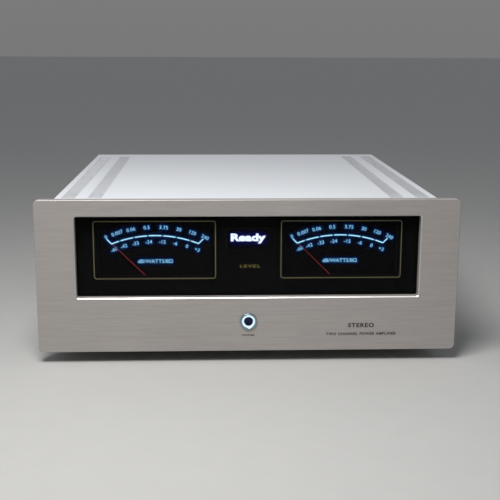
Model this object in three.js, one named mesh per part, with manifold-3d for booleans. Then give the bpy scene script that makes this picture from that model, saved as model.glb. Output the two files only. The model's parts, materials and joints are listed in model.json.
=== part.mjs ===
// A stereo class A power amplifier with two needle meters, as the pieces that it comes apart into on a bench.
// Millimetres, +Z up. The front faces -Y, and the origin is on the floor under the middle of the overall box.

import * as THREE from "three";
import { mergeVertices } from "three/addons/utils/BufferGeometryUtils.js";
import Module from "manifold-3d";

const wasm = await Module();
wasm.setup();

// ---------------------------------------------------------------- driving dimensions
// Depths run from the front panel's face to the rear, and heights from the floor.

const GAP = 0.3; // clearance between pieces that touch
const FINE = 30; // sides of a large round piece
const ROUND = 18; // sides of an ordinary one
const SMALL = 10; // sides of a small one

const PANEL = { width: 430, height: 158, thickness: 10, corner: 5, chamfer: 0.6 };
const LIFT = 12; // floor to the front panel's lower edge
const WINDOW = { width: 350, height: 84, above: 57, corner: 2 }; // the opening, above the panel's lower edge
const GLASS = { thickness: 2, lap: 5.7 }; // dark glass, lapping behind the opening's edge

const HALF_BODY = 202; // half the width of the cover and the plates
const SHEET = 3; // aluminium plate of the case
const FOOT = { radius: 22, height: 18, x: 138, depths: [62, 408] };
const COVER_TOP = 163.7;
const COVER_END = 467;
const REAR_FACE = 466.5; // depth of the rear panel's outer face
const TERMINAL_REACH = 34; // rear face to the end of a speaker terminal
const BUTTON = { height: 43.6, proud: 1.6, travel: 2 };

const VENT = { rows: [160.5, 188], length: 15.6, width: 4, pitch: 8, first: 40, count: 51 };
const FLOOR_VENT = { x: 181, length: 34, width: 8, pitch: 28, first: 50, count: 13 };
const SINK = { face: 148, root: 156, tip: 204.5, start: 42, end: 430 }; // widths are from the middle
const FIN = { thickness: 2.4, count: 42 };

const BOARD = 1.6; // thickness of a circuit board
const PILLAR = 4; // radius of a pillar under a board

const METER = { x: 95.5, width: 120, height: 80, below: 66, wall: 1.5, pivot: 78.4, needle: 61 };
const DISPLAY = { width: 44, height: 20, bottom: 118 };

const FRONT = -(REAR_FACE + TERMINAL_REACH - BUTTON.proud) / 2; // y of the front panel's face
const PANEL_BACK = PANEL.thickness;
const FRAME_FRONT = PANEL_BACK + GAP;
const FRAME_BACK = FRAME_FRONT + SHEET;
const REAR_INNER = REAR_FACE - SHEET;
const FLOOR_TOP = FOOT.height + SHEET; // upper face of the bottom plate
const WALL_BOTTOM = FLOOR_TOP + GAP;
const COVER_BOTTOM = COVER_TOP - SHEET;
const WALL_TOP = COVER_BOTTOM - GAP;
const SIDES = [["left", -1], ["right", 1]];

// ---------------------------------------------------------------- finishes

const finish = (color, roughness, metalness, extra = {}) => ({ color, roughness, metalness, ...extra });
const FINISH = {
  panel: finish(0xa39f99, 0.42, 0.85),
  anodised: finish(0xc9cdd2, 0.4, 0.85),
  sink: finish(0x9a9ea3, 0.5, 0.8),
  steel: finish(0x8c8f92, 0.45, 0.9),
  blackSteel: finish(0x1c1c1e, 0.55, 0.4),
  darkGlass: finish(0x050506, 0.08, 0, { transparent: true, opacity: 0.6 }),
  blackPlastic: finish(0x141415, 0.5, 0),
  dial: finish(0x07090d, 0.7, 0),
  redNeedle: finish(0xb3201f, 0.5, 0),
  glow: finish(0xd9f4ff, 0.4, 0, { emissive: 0x9fe6ff }),
  chrome: finish(0xd8dadd, 0.15, 1),
  capMetal: finish(0x2a2f45, 0.25, 0.8),
  board: finish(0x1d5b38, 0.6, 0),
  screen: finish(0x05070f, 0.2, 0),
  winding: finish(0xb88a3a, 0.6, 0.1),
  rubber: finish(0x1a1a1a, 0.9, 0),
  sleeve: finish(0x20242c, 0.45, 0),
  gold: finish(0xd7a94a, 0.25, 1),
  redPlastic: finish(0x9c1616, 0.35, 0),
};

// ---------------------------------------------------------------- outlines, in two coordinates

const corner = (x, y, radius, from, steps) =>
  Array.from({ length: steps + 1 }, (_, i) => {
    const angle = from + (i / steps) * (Math.PI / 2);
    return [x + radius * Math.cos(angle), y + radius * Math.sin(angle)];
  });

const rectangle = (x0, x1, y0, y1) => [[x0, y0], [x1, y0], [x1, y1], [x0, y1]];

const roundedRectangle = (x0, x1, y0, y1, radius, steps = 4) => [
  ...corner(x1 - radius, y0 + radius, radius, -Math.PI / 2, steps),
  ...corner(x1 - radius, y1 - radius, radius, 0, steps),
  ...corner(x0 + radius, y1 - radius, radius, Math.PI / 2, steps),
  ...corner(x0 + radius, y0 + radius, radius, Math.PI, steps),
];

const circle = (x, y, radius, sides = ROUND) =>
  Array.from({ length: sides }, (_, i) => {
    const angle = (i / sides) * 2 * Math.PI;
    return [x + radius * Math.cos(angle), y + radius * Math.sin(angle)];
  });

const vectors = (points) => points.map(([x, y]) => new THREE.Vector2(x, y));

// ---------------------------------------------------------------- solids

// A closed three.js geometry as a solid that can be joined and cut.
function solid(geometry) {
  geometry.deleteAttribute("normal");
  geometry.deleteAttribute("uv");
  const merged = mergeVertices(geometry, 1e-4);
  return new wasm.Manifold(
    new wasm.Mesh({
      numProp: 3,
      vertProperties: merged.attributes.position.array,
      triVerts: new Uint32Array(merged.index.array),
    }),
  );
}

// An outline in x and y, raised from z 0, with its holes cut right through it.
function raised(outline, holes, depth, chamfer) {
  const shape = new THREE.Shape(vectors(outline));
  const plate = new THREE.ExtrudeGeometry(shape, {
    depth: depth - 2 * chamfer,
    bevelEnabled: chamfer > 0,
    bevelThickness: chamfer,
    bevelSize: chamfer,
    bevelOffset: -chamfer,
    bevelSegments: 1,
  }).translate(0, 0, chamfer);
  const cutters = holes.map((hole) => raised(hole, [], depth + 2, 0).translate([0, 0, -1]));
  return cut(solid(plate), ...cutters);
}

// Outline in x and y, between two heights.
const levelPlate = (outline, bottom, top, holes = [], chamfer = 0) =>
  raised(outline, holes, top - bottom, chamfer).translate([0, 0, bottom]);

// Outline in x and height, between two depths.
const uprightPlate = (outline, front, back, holes = [], chamfer = 0) =>
  raised(outline, holes, back - front, chamfer).rotate([90, 0, 0]).translate([0, back, 0]);

const block = (x0, x1, y0, y1, z0, z1) => levelPlate(rectangle(x0, x1, y0, y1), z0, z1);

// Turned about the depth axis. The profile is a closed loop of radius and depth.
const turnedInDepth = (profile, sides = ROUND) =>
  solid(new THREE.LatheGeometry(vectors([...profile, profile[0]]), sides));

// Turned about the upright axis. The profile is a closed loop of radius and height.
const turnedUpright = (profile, sides = ROUND) =>
  solid(new THREE.LatheGeometry(vectors([...profile, profile[0]]), sides).rotateX(Math.PI / 2));

const joined = (first, ...others) => others.reduce((whole, piece) => whole.add(piece), first);

const cut = (first, ...others) => others.reduce((whole, piece) => whole.subtract(piece), first);

// ---------------------------------------------------------------- scene graph helpers

function part(name, shape, look, position = [0, 0, 0]) {
  const made = shape.getMesh();
  const geometry = new THREE.BufferGeometry();
  geometry.setAttribute("position", new THREE.BufferAttribute(made.vertProperties, 3));
  geometry.setIndex(new THREE.BufferAttribute(made.triVerts, 1));
  geometry.computeVertexNormals();
  const mesh = new THREE.Mesh(geometry, new THREE.MeshStandardMaterial(look));
  mesh.name = name;
  mesh.position.set(...position);
  return mesh;
}

function group(position, ...members) {
  const made = new THREE.Group();
  made.position.set(...position);
  made.add(...members);
  return made;
}

// ---------------------------------------------------------------- case

const glassEdge = {
  half: WINDOW.width / 2 + GLASS.lap,
  bottom: LIFT + WINDOW.above - GLASS.lap,
  top: LIFT + WINDOW.above + WINDOW.height + GLASS.lap,
};

function frontPanel() {
  const half = PANEL.width / 2;
  const sill = LIFT + WINDOW.above;
  const outline = roundedRectangle(-half, half, LIFT, LIFT + PANEL.height, PANEL.corner);
  const window = roundedRectangle(
    -WINDOW.width / 2, WINDOW.width / 2, sill, sill + WINDOW.height, WINDOW.corner, 2,
  );
  const buttonHole = circle(0, BUTTON.height, 8.2);
  const shape = uprightPlate(outline, 0, PANEL.thickness, [window, buttonHole], PANEL.chamfer);
  return part("front_panel", shape, FINISH.panel);
}

// The ends of the case: a flat plate with a flange at each side that reaches to the heat sinks.
function endPlate(front, back, flangeFront, flangeBack, holes) {
  const outline = rectangle(-HALF_BODY, HALF_BODY, WALL_BOTTOM, WALL_TOP);
  const flanges = SIDES.map(([, side]) => {
    const [x0, x1] = [side * HALF_BODY, side * (HALF_BODY - SHEET)].sort((a, b) => a - b);
    return uprightPlate(rectangle(x0, x1, WALL_BOTTOM, WALL_TOP), flangeFront, flangeBack);
  });
  return joined(uprightPlate(outline, front, back, holes), ...flanges);
}

// Inner plate that the front panel, the glass and the switch are fixed to.
function frontSubframe() {
  const { half, bottom, top } = glassEdge;
  const seat = rectangle(-half - GAP, half + GAP, bottom - GAP, top + GAP);
  const holes = [seat, circle(0, BUTTON.height, 8.4)];
  const shape = endPlate(FRAME_FRONT, FRAME_BACK, FRAME_BACK - 1, SINK.start - GAP, holes);
  return part("front_subframe", shape, FINISH.blackSteel);
}

function windowGlass() {
  const { half, bottom, top } = glassEdge;
  const shape = uprightPlate(rectangle(-half, half, bottom, top), FRAME_FRONT, FRAME_FRONT + GLASS.thickness);
  return part("window_glass", shape, FINISH.darkGlass);
}

// A level plate with rows of slots across it.
function slottedPlate(outline, bottom, top, row, centres) {
  const slots = centres.flatMap((x) =>
    Array.from({ length: row.count }, (_, i) => {
      const depth = row.first + i * row.pitch;
      const [x0, x1] = [x - row.length / 2, x + row.length / 2];
      return block(x0, x1, depth - row.width / 2, depth + row.width / 2, bottom - 1, top + 1);
    }),
  );
  return levelPlate(outline, bottom, top).subtract(wasm.Manifold.compose(slots));
}

function topCover() {
  const outline = rectangle(-HALF_BODY, HALF_BODY, FRAME_FRONT, COVER_END);
  const shape = slottedPlate(outline, COVER_BOTTOM, COVER_TOP, VENT, VENT.rows.flatMap((x) => [-x, x]));
  return part("top_cover", shape, FINISH.anodised);
}

function bottomPlate() {
  const outline = rectangle(-HALF_BODY, HALF_BODY, FRAME_FRONT, REAR_FACE);
  const shape = slottedPlate(outline, FOOT.height, FLOOR_TOP, FLOOR_VENT, [-FLOOR_VENT.x, FLOOR_VENT.x]);
  return part("bottom_plate", shape, FINISH.steel);
}

// A comb in plan: a thick base with upright fins that make the side of the case.
function heatSink(name, side) {
  const pitch = (SINK.end - SINK.start - FIN.thickness) / (FIN.count - 1);
  const outline = [[SINK.face, SINK.start]];
  for (let i = 0; i < FIN.count; i++) {
    const near = SINK.start + i * pitch;
    const far = near + FIN.thickness;
    if (i > 0) outline.push([SINK.root, near]);
    outline.push([SINK.tip, near], [SINK.tip, far]);
    if (i < FIN.count - 1) outline.push([SINK.root, far]);
  }
  outline.push([SINK.face, SINK.end]);
  const shape = levelPlate(outline.map(([x, y]) => [side * x, y]), WALL_BOTTOM, WALL_TOP);
  return part(name, shape, FINISH.sink);
}

function foot(name, x, depth) {
  const { radius, height } = FOOT;
  const top = height - GAP;
  const profile = [
    [0, 0], [radius - 5, 0], [radius - 4, 1.5], [radius - 1, 3], [radius, 5], [radius, top - 1],
    [radius - 1, top], [0, top],
  ];
  return part(name, turnedUpright(profile), FINISH.anodised, [x, depth, 0]);
}

// ---------------------------------------------------------------- meters and display

// Steel plate behind the glass that carries the two meters and the display.
function meterBracket() {
  const plate = { half: 180, bottom: 60, top: 159, front: 13.9, back: 15.4 };
  const clear = GAP + 0.2;
  const meterHole = (x) =>
    rectangle(
      x - METER.width / 2 - clear, x + METER.width / 2 + clear,
      METER.below - clear, METER.below + METER.height + clear,
    );
  const displayHole = rectangle(
    -DISPLAY.width / 2 - clear, DISPLAY.width / 2 + clear,
    DISPLAY.bottom - clear, DISPLAY.bottom + DISPLAY.height + clear,
  );
  const outline = rectangle(-plate.half, plate.half, plate.bottom, plate.top);
  const holes = [meterHole(-METER.x), meterHole(METER.x), displayHole];
  return part("meter_bracket", uprightPlate(outline, plate.front, plate.back, holes), FINISH.blackSteel);
}

// A meter's own frame has its middle at x 0; heights and depths are the case's.
function meterCase(name) {
  const half = METER.width / 2;
  const { below, wall } = METER;
  const above = below + METER.height;
  const flange = uprightPlate(rectangle(-half - 2, half + 2, below - 1.5, above + 1.5), 12.6, 13.6);
  const shell = uprightPlate(rectangle(-half, half, below, above), 12.6, 38);
  const hollow = uprightPlate(rectangle(-half + wall, half - wall, below + wall, above - wall), 12, 36.5);
  return part(name, cut(joined(flange, shell), hollow), FINISH.blackPlastic);
}

const meterInside = () => {
  const inset = METER.wall + GAP;
  return {
    half: METER.width / 2 - inset,
    bottom: METER.below + inset,
    top: METER.below + METER.height - inset,
  };
};

function meterDial(name) {
  const { half, bottom, top } = meterInside();
  const staffHole = circle(0, METER.pivot, 2, SMALL);
  const shape = uprightPlate(rectangle(-half, half, bottom, top), 20, 20.8, [staffHole]);
  return part(name, shape, FINISH.dial);
}

// Strip that hides the needle's hub and the movement below the dial.
function meterMask(name) {
  const { half, bottom } = meterInside();
  return part(name, uprightPlate(rectangle(-half, half, bottom, 89.3), 13.9, 14.9), FINISH.blackPlastic);
}

function meterMovement(name) {
  const magnet = turnedInDepth([[1.6, 21.1], [10.3, 21.1], [10.3, 36.2], [1.6, 36.2]]);
  return part(name, magnet, FINISH.steel, [0, 0, METER.pivot]);
}

// Pointer, hub, staff and balance weight, drawn upright and turned to its rest at the left of the dial.
function meterNeedle(name) {
  const pointer = uprightPlate(
    [[-0.9, -7], [0.9, -7], [0.8, 6], [0.3, METER.needle], [-0.3, METER.needle], [-0.8, 6]], 16.4, 17,
  );
  const hub = turnedInDepth([[0, 15.9], [3.4, 15.9], [3.4, 18], [1, 18], [1, 33], [0, 33]]);
  const weight = uprightPlate(circle(0, -6.4, 1.6, SMALL), 16, 17.4);
  const needle = part(name, joined(pointer, hub, weight), FINISH.redNeedle, [0, 0, METER.pivot]);
  needle.rotation.y = -Math.PI / 4;
  return needle;
}

function meter(label, side) {
  const name = `meter_${label}`;
  return group(
    [side * METER.x, 0, 0],
    meterCase(`${name}_case`),
    meterDial(`${name}_dial`),
    meterMask(`${name}_mask`),
    meterMovement(`${name}_movement`),
    meterNeedle(`${name}_needle`),
  );
}

function display() {
  const { width, height, bottom } = DISPLAY;
  const screen = uprightPlate(rectangle(-width / 2, width / 2, bottom, bottom + height), 12.6, 14.6);
  const board = joined(
    uprightPlate(rectangle(-27, 27, bottom - 7, bottom + height + 6), 15.7, 17.3),
    uprightPlate(rectangle(-8, 8, bottom - 4, bottom + 4), 17.2, 20.5),
  );
  return [part("display_screen", screen, FINISH.screen), part("display_board", board, FINISH.board)];
}

// ---------------------------------------------------------------- power button, about its own axis

function powerButton() {
  const housing = turnedInDepth([
    [0, 12], [5.2, 12], [5.2, 4.5], [6.7, 4.5], [6.7, -1.1], [7.1, -1.5], [8.2, -1.5], [8.6, -1.1],
    [8.6, -GAP], [7.9, -GAP], [7.9, 32], [0, 32],
  ], FINE);
  const ring = turnedInDepth([[4.95, -1], [6.6, -1], [6.6, 4.2], [4.95, 4.2]], FINE);
  const cap = turnedInDepth(
    [[0, -BUTTON.proud], [4, -BUTTON.proud], [4.6, -1.1], [4.6, 6], [0, 6]], FINE,
  );
  const nut = uprightPlate(circle(0, 0, 12.7, 6), 13.6, 17.4, [circle(0, 0, 8.2)]);
  return group(
    [0, 0, BUTTON.height],
    part("button_housing", housing, FINISH.chrome),
    part("button_light_ring", ring, FINISH.glow),
    part("button_cap", cap, FINISH.capMetal),
    part("button_nut", nut, FINISH.steel),
  );
}

// ---------------------------------------------------------------- power supply

function transformer() {
  const rubber = turnedUpright([[8, 0], [64, 0], [64, 3], [8, 3]], FINE);
  const winding = turnedUpright(
    [[20, 12], [24, 6], [32, 3.3], [66, 3.3], [73, 6], [77, 13], [77, 56], [73, 63], [66, 66], [32, 66],
      [24, 63], [20, 57]],
    FINE,
  );
  const plate = turnedUpright(
    [[5.5, 62], [18, 62], [26, 66.3], [56, 66.3], [56, 68.5], [25, 68.5], [17, 64.5], [5.5, 64.5]],
    FINE,
  );
  const stud = turnedUpright([[0, 0], [5, 0], [5, 76], [0, 76]], SMALL);
  const nut = levelPlate(circle(0, 0, 9.5, 6), 64.8, 72.5);
  return group(
    [0, 126, WALL_BOTTOM],
    part("transformer_pad", rubber, FINISH.rubber),
    part("transformer_winding", winding, FINISH.winding),
    part("transformer_plate", plate, FINISH.steel),
    part("transformer_bolt", joined(stud, nut), FINISH.steel),
  );
}

// Reservoir capacitors stand in a row on their own board, which stands on four pillars.
function reservoir() {
  const half = { width: 118, depth: 45 };
  const boardBottom = 12;
  const boardTop = boardBottom + BOARD;
  const pillars = [-110, 110].flatMap((x) =>
    [-38, 38].map((y) => levelPlate(circle(x, y, PILLAR, SMALL), 0, boardBottom + 0.5)),
  );
  const sheet = block(-half.width, half.width, -half.depth, half.depth, boardBottom, boardTop);
  const board = joined(sheet, ...pillars);
  const can = turnedUpright([[0, 0], [24.5, 0], [25.5, 1.5], [25.5, 81], [23.5, 83], [21, 82], [0, 82]]);
  const cans = [-88, -30, 30, 88].map((x, i) =>
    part(`reservoir_capacitor_${i + 1}`, can, FINISH.sleeve, [x, 0, boardTop + GAP]),
  );
  return group([0, 262, WALL_BOTTOM], part("capacitor_board", board, FINISH.board), ...cans);
}

function rectifier(name, side) {
  const half = 14.5;
  const body = block(-half, half, -half, half, 0, 11);
  const tabs = [-9, 9].flatMap((x) => [-9, 9].map((y) => block(x - 0.4, x + 0.4, y - 3, y + 3, 10, 19)));
  return part(name, joined(body, ...tabs), FINISH.steel, [side * 52, 350, WALL_BOTTOM]);
}

// Upright board with its output transistors clamped to the heat sink.
function amplifierBoard(name, side) {
  const face = 126; // from the middle to the board's inner face
  const board = block(face, face + BOARD, 50, 400, 46, 138);
  const transistors = Array.from({ length: 6 }, (_, i) => {
    const y = 82 + i * 57;
    const body = block(142.4, SINK.face - GAP, y - 8, y + 8, 74, 95);
    const legs = block(face + 0.5, 145, y - 6, y + 6, 70, 75);
    return joined(body, legs);
  });
  const parts = [[105, 150, 100, 124], [300, 345, 100, 124], [190, 260, 104, 118]].map(
    ([front, back, bottom, top]) => block(face - 9, face + 0.5, front, back, bottom, top),
  );
  const shape = joined(board, ...transistors, ...parts);
  return part(name, side > 0 ? shape : shape.mirror([1, 0, 0]), FINISH.board);
}

function protectionBoard() {
  const board = block(-88, 88, 378, 414, 34, 34 + BOARD);
  const relays = [-50, 18].map((x) => block(x, x + 32, 384, 406, 35, 56));
  const pillars = [-80, 80].flatMap((x) =>
    [384, 408].map((y) => levelPlate(circle(x, y, PILLAR, SMALL), WALL_BOTTOM, 34.5)),
  );
  return part("protection_board", joined(board, ...relays, ...pillars), FINISH.board);
}

// Lead from the mains inlet to the power switch, along the floor beside the reservoir capacitors.
function switchLead() {
  const radius = 3;
  const low = FLOOR_TOP + radius + 1.5;
  const route = new THREE.CatmullRomCurve3([
    [8, 435.6, 52], [8, 431, 52], [20, 424, 46], [60, 424, 32], [104, 420, low], [128, 402, low],
    [134, 372, low], [134, 270, low], [134, 150, low], [126, 84, low], [100, 56, low + 1], [60, 45, 31],
    [24, 43, 38], [4, 40, 42], [0, 36.5, BUTTON.height], [0, 32.6, BUTTON.height],
  ].map(([x, y, z]) => new THREE.Vector3(x, y, z)), false, "centripetal");
  const section = new THREE.Shape(vectors(circle(0, 0, radius, 8)));
  const lead = new THREE.ExtrudeGeometry(section, { steps: 48, bevelEnabled: false, extrudePath: route });
  return part("switch_lead", solid(lead), FINISH.rubber);
}

// ---------------------------------------------------------------- rear panel and connectors
// Each connector is drawn about its own axis, with depth 0 at the rear panel's outer face.

const PHONO = { x: 126, height: 126 };
const BALANCED = { x: 84, height: 124 };
const TERMINAL = { x: [96, 134], height: 62 };
const INLET = { height: 62 };

function rearPanel() {
  const cutouts = [-1, 1].flatMap((side) => [
    circle(side * PHONO.x, PHONO.height, 4.6, SMALL),
    circle(side * BALANCED.x, BALANCED.height, 12.2),
    ...TERMINAL.x.map((x) => circle(side * x, TERMINAL.height, 5.6, SMALL)),
  ]);
  const inlet = rectangle(-14.3, 14.3, INLET.height - 17.3, INLET.height + 20.3);
  const shape = endPlate(REAR_INNER, REAR_FACE, SINK.end + GAP, REAR_INNER + 1, [...cutouts, inlet]);
  return part("rear_panel", shape, FINISH.anodised);
}

function phonoSocket(name, side) {
  const profile = [
    [1.7, 11], [1.7, 1], [0, 1], [0, -16], [1.5, -16], [1.5, -9], [6.4, -9], [6.4, -SHEET - GAP],
    [4.3, -SHEET - GAP], [4.3, GAP], [7, GAP], [7, 2.2], [4.15, 2.2], [4.15, 11],
  ];
  return part(name, turnedInDepth(profile), FINISH.gold, [side * PHONO.x, REAR_FACE, PHONO.height]);
}

function balancedSocket(label, side) {
  const front = 2.2;
  const plate = uprightPlate(roundedRectangle(-13, 13, -15.5, 15.5, 3, 3), GAP, front);
  const barrel = uprightPlate(circle(0, 0, 11.8), -26, 1);
  const groove = uprightPlate(circle(0, 0, 9.6), -12, 4, [circle(0, 0, 7.5)]);
  const pins = [30, 150, 270].map((angle) => {
    const turn = THREE.MathUtils.degToRad(angle);
    return uprightPlate(circle(3.7 * Math.cos(turn), 3.7 * Math.sin(turn), 1.3, 8), -9, 4);
  });
  const notch = uprightPlate(rectangle(-4.4, 4.4, 12.1, 17), 0, 4);
  const socket = cut(joined(plate, barrel), groove, ...pins, notch);
  const latch = uprightPlate(rectangle(-4, 4, 12.5, 15.6), front - 0.4, front + 2.4);
  return group(
    [side * BALANCED.x, REAR_FACE, BALANCED.height],
    part(`xlr_${label}_socket`, socket, FINISH.blackPlastic),
    part(`xlr_${label}_latch`, latch, FINISH.chrome),
  );
}

// Stud with its insulating base, and the fluted cap that clamps the wire and takes a 4 mm plug.
function speakerTerminal(name, x, look) {
  const stud = turnedInDepth([
    [0, -26], [2.5, -26], [2.5, -12], [9, -12], [9, -SHEET - GAP], [5.2, -SHEET - GAP], [5.2, GAP],
    [9.6, GAP], [9.6, 4], [8.6, 5], [3.8, 5], [3.8, 31], [2.1, 31], [2.1, 12], [0, 12],
  ]);
  const wireHole = levelPlate(circle(0, 8.4, 1.8, SMALL), -6, 6);
  const flutes = Array.from({ length: 32 }, (_, i) => {
    const radius = i % 4 < 2 ? 9 : 8.2;
    const angle = (i / 32) * 2 * Math.PI;
    return [radius * Math.cos(angle), radius * Math.sin(angle)];
  });
  const sleeve = uprightPlate(flutes, 11.5, TERMINAL_REACH - 1.2, [circle(0, 0, 4.2, SMALL)]);
  const lip = turnedInDepth([
    [2.4, TERMINAL_REACH - 2.6], [7.8, TERMINAL_REACH - 2.6], [7.8, TERMINAL_REACH - 0.6],
    [7.2, TERMINAL_REACH], [2.4, TERMINAL_REACH],
  ]);
  return group(
    [x, REAR_FACE, TERMINAL.height],
    part(`${name}_post`, cut(stud, wireHole), FINISH.gold),
    part(`${name}_cap`, joined(sleeve, lip), look),
  );
}

// Mains inlet with the three pins in its cavity, over a drawer that holds the fuse.
function mainsInlet() {
  const plate = uprightPlate(roundedRectangle(-25, 25, -20, 23, 6, 3), GAP, 3.2);
  const body = uprightPlate(rectangle(-14, 14, -17, 20), -30, 1);
  const cavity = uprightPlate(roundedRectangle(-12.2, 12.2, 1.2, 17.6, 2.5, 2), -13.5, 5);
  const drawerSlot = uprightPlate(rectangle(-11.3, 11.3, -14.2, -3.2), -20, 5);
  const pins = [[-7, 8], [7, 8], [0, 12.2]].map(([x, y]) =>
    uprightPlate(rectangle(x - 1, x + 1, y - 2, y + 2), -14, -1.5),
  );
  const screwHoles = [-20, 20].map((x) => uprightPlate(circle(x, 1.5, 1.7, SMALL), -1, 5));
  const shell = cut(joined(plate, body), cavity, drawerSlot, ...screwHoles);
  const grip = uprightPlate(rectangle(-4, 4, -14, -12), 2.5, 6);
  const drawer = cut(uprightPlate(rectangle(-11, 11, -13.9, -3.5), -19.5, 4.4), grip);
  return group(
    [0, REAR_FACE, INLET.height],
    part("mains_inlet", joined(shell, ...pins), FINISH.blackPlastic),
    part("fuse_drawer", drawer, FINISH.blackPlastic),
  );
}

// ---------------------------------------------------------------- assembly

const feet = FOOT.depths.flatMap((depth, i) =>
  SIDES.map(([label, side]) => foot(`foot_${["front", "rear"][i]}_${label}`, side * FOOT.x, depth)),
);

const terminals = SIDES.flatMap(([label, side]) => [
  speakerTerminal(`terminal_${label}_minus`, side * TERMINAL.x[0], FINISH.sleeve),
  speakerTerminal(`terminal_${label}_plus`, side * TERMINAL.x[1], FINISH.redPlastic),
]);

const amplifier = group(
  [0, FRONT, 0],
  frontPanel(),
  frontSubframe(),
  windowGlass(),
  topCover(),
  bottomPlate(),
  rearPanel(),
  ...SIDES.map(([label, side]) => heatSink(`heatsink_${label}`, side)),
  ...feet,
  meterBracket(),
  ...SIDES.map(([label, side]) => meter(label, side)),
  ...display(),
  powerButton(),
  transformer(),
  reservoir(),
  ...SIDES.map(([label, side]) => rectifier(`rectifier_${label}`, side)),
  ...SIDES.map(([label, side]) => amplifierBoard(`amplifier_board_${label}`, side)),
  protectionBoard(),
  switchLead(),
  ...SIDES.map(([label, side]) => phonoSocket(`phono_${label}_socket`, side)),
  ...SIDES.map(([label, side]) => balancedSocket(label, side)),
  ...terminals,
  mainsInlet(),
);

export default group([0, 0, 0], amplifier);
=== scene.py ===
"""The looks of a stereo power amplifier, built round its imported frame. Metres, +Z up, front facing -Y."""

import json
import math

import bmesh
import bpy
from mathutils import Matrix, Vector
from mathutils.bvhtree import BVHTree


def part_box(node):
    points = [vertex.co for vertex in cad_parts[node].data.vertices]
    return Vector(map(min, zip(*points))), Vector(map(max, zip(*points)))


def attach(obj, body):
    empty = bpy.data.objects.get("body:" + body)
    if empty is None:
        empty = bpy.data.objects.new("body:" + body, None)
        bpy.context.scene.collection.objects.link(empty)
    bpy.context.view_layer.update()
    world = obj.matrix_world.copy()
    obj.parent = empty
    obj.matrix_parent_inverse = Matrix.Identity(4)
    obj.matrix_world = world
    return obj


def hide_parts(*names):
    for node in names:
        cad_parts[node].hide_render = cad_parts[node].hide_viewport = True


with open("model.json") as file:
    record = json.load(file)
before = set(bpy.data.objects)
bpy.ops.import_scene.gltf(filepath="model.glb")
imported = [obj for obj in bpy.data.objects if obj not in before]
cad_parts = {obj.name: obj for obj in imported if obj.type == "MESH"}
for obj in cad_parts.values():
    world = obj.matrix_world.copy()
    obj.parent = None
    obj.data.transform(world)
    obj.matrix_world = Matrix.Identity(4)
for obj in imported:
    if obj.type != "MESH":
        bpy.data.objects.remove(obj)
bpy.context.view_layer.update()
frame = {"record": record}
SIDES = (("left", -1), ("right", 1))
CORNERS = [(x, y) for x in (-1, 1) for y in (-1, 1)]


# ---------------------------------------------------------------- measures, from the frame


class Span:
    """The box of a CAD node, as its low and high corners, its middle and its size."""

    def __init__(self, node):
        low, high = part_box(node)
        self.low = Vector(low)
        self.high = Vector(high)
        self.middle = (self.low + self.high) / 2
        self.size = self.high - self.low

    def face(self, radius, steps=6, wider=0.0, taller=None):
        """Its outline from the front, with round corners, grown at each side by so much."""
        taller = wider if taller is None else taller
        x0, x1 = self.low.x - wider, self.high.x + wider
        return rounded(x0, x1, self.low.z - taller, self.high.z + taller, radius, steps)


PANEL = Span("front_panel")
FACE = PANEL.low.y  # the front panel's face
FOOTING = PANEL.low.z  # the front panel's lower edge
GLASS = Span("window_glass")
BUTTON = Span("button_cap").middle
COVER = Span("top_cover")
REAR = Span("rear_panel")
PHONO = Span("phono_right_socket").middle
XLR = Span("xlr_right_socket").middle
POSTS = [Span(f"terminal_right_{kind}_post").middle for kind in ("minus", "plus")]
METER_X = {name: Span(f"meter_{name}_case").middle.x for name, _ in SIDES}
JOINTS = {joint["name"]: joint for joint in frame["record"]["behaviour"]["joints"]}

MM = 0.001

# Sizes of what is printed or lit. Heights are over the front panel's lower edge, and angles are in degrees.
GLASS_LAP = 0.0057  # how far the glass reaches behind the panel
DISPLAY_LINE = 0.116  # height of the display's characters
ARC = {"radius": 0.120, "height": -0.002, "half_angle": 21.77, "width": 0.00112, "gap": 0.8}
ARC_BREAKS = (-17.5, -10.35, -3.5, 3.6, 10.5, 17.4)
UPPER_ROW = {
    "radius": 0.1287,
    "marks": ("0", "0.007", "0.06", "0.5", "3.75", "30", "120", "240"),
    "angles": (-22.9, -17.5, -11.0, -3.8, 4.0, 11.0, 17.5, 23.5),
}
LOWER_ROW = {
    "radius": 0.1136,
    "marks": ("-60", "-42", "-33", "-24", "-15", "-6", "0", "+3"),
    "angles": (-21.7, -16.4, -10.2, -3.3, 3.7, 10.5, 16.75, 22.3),
}
FIGURE_HEIGHT = 0.0036


# ---------------------------------------------------------------- node helpers


def node(tree, kind, inputs=None, **settings):
    made = tree.nodes.new(kind)
    for key, value in settings.items():
        setattr(made, key, value)
    for key, value in (inputs or {}).items():
        if isinstance(value, bpy.types.NodeSocket):
            tree.links.new(value, made.inputs[key])
        else:
            made.inputs[key].default_value = value
    return made


def math_node(tree, operation, first, second=0.0):
    return node(tree, "ShaderNodeMath", {0: first, 1: second}, operation=operation).outputs[0]


def object_place(tree, scale=(1, 1, 1), shift=(0, 0, 0)):
    place = node(tree, "ShaderNodeTexCoord").outputs["Object"]
    return node(tree, "ShaderNodeMapping", {"Vector": place, "Location": shift, "Scale": scale}).outputs[0]


def noise(tree, place, scale, detail=2.0, roughness=0.5):
    values = {"Vector": place, "Scale": scale, "Detail": detail, "Roughness": roughness}
    return node(tree, "ShaderNodeTexNoise", values).outputs["Fac"]


def between(tree, factor, low, high):
    """Takes a 0 to 1 factor to low and high."""
    return node(tree, "ShaderNodeMapRange", {"Value": factor, "To Min": low, "To Max": high}).outputs[0]


def tint(tree, factor, first, second):
    made = node(tree, "ShaderNodeMix", {0: factor, 6: (*first, 1), 7: (*second, 1)}, data_type="RGBA")
    return made.outputs[2]


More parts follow.
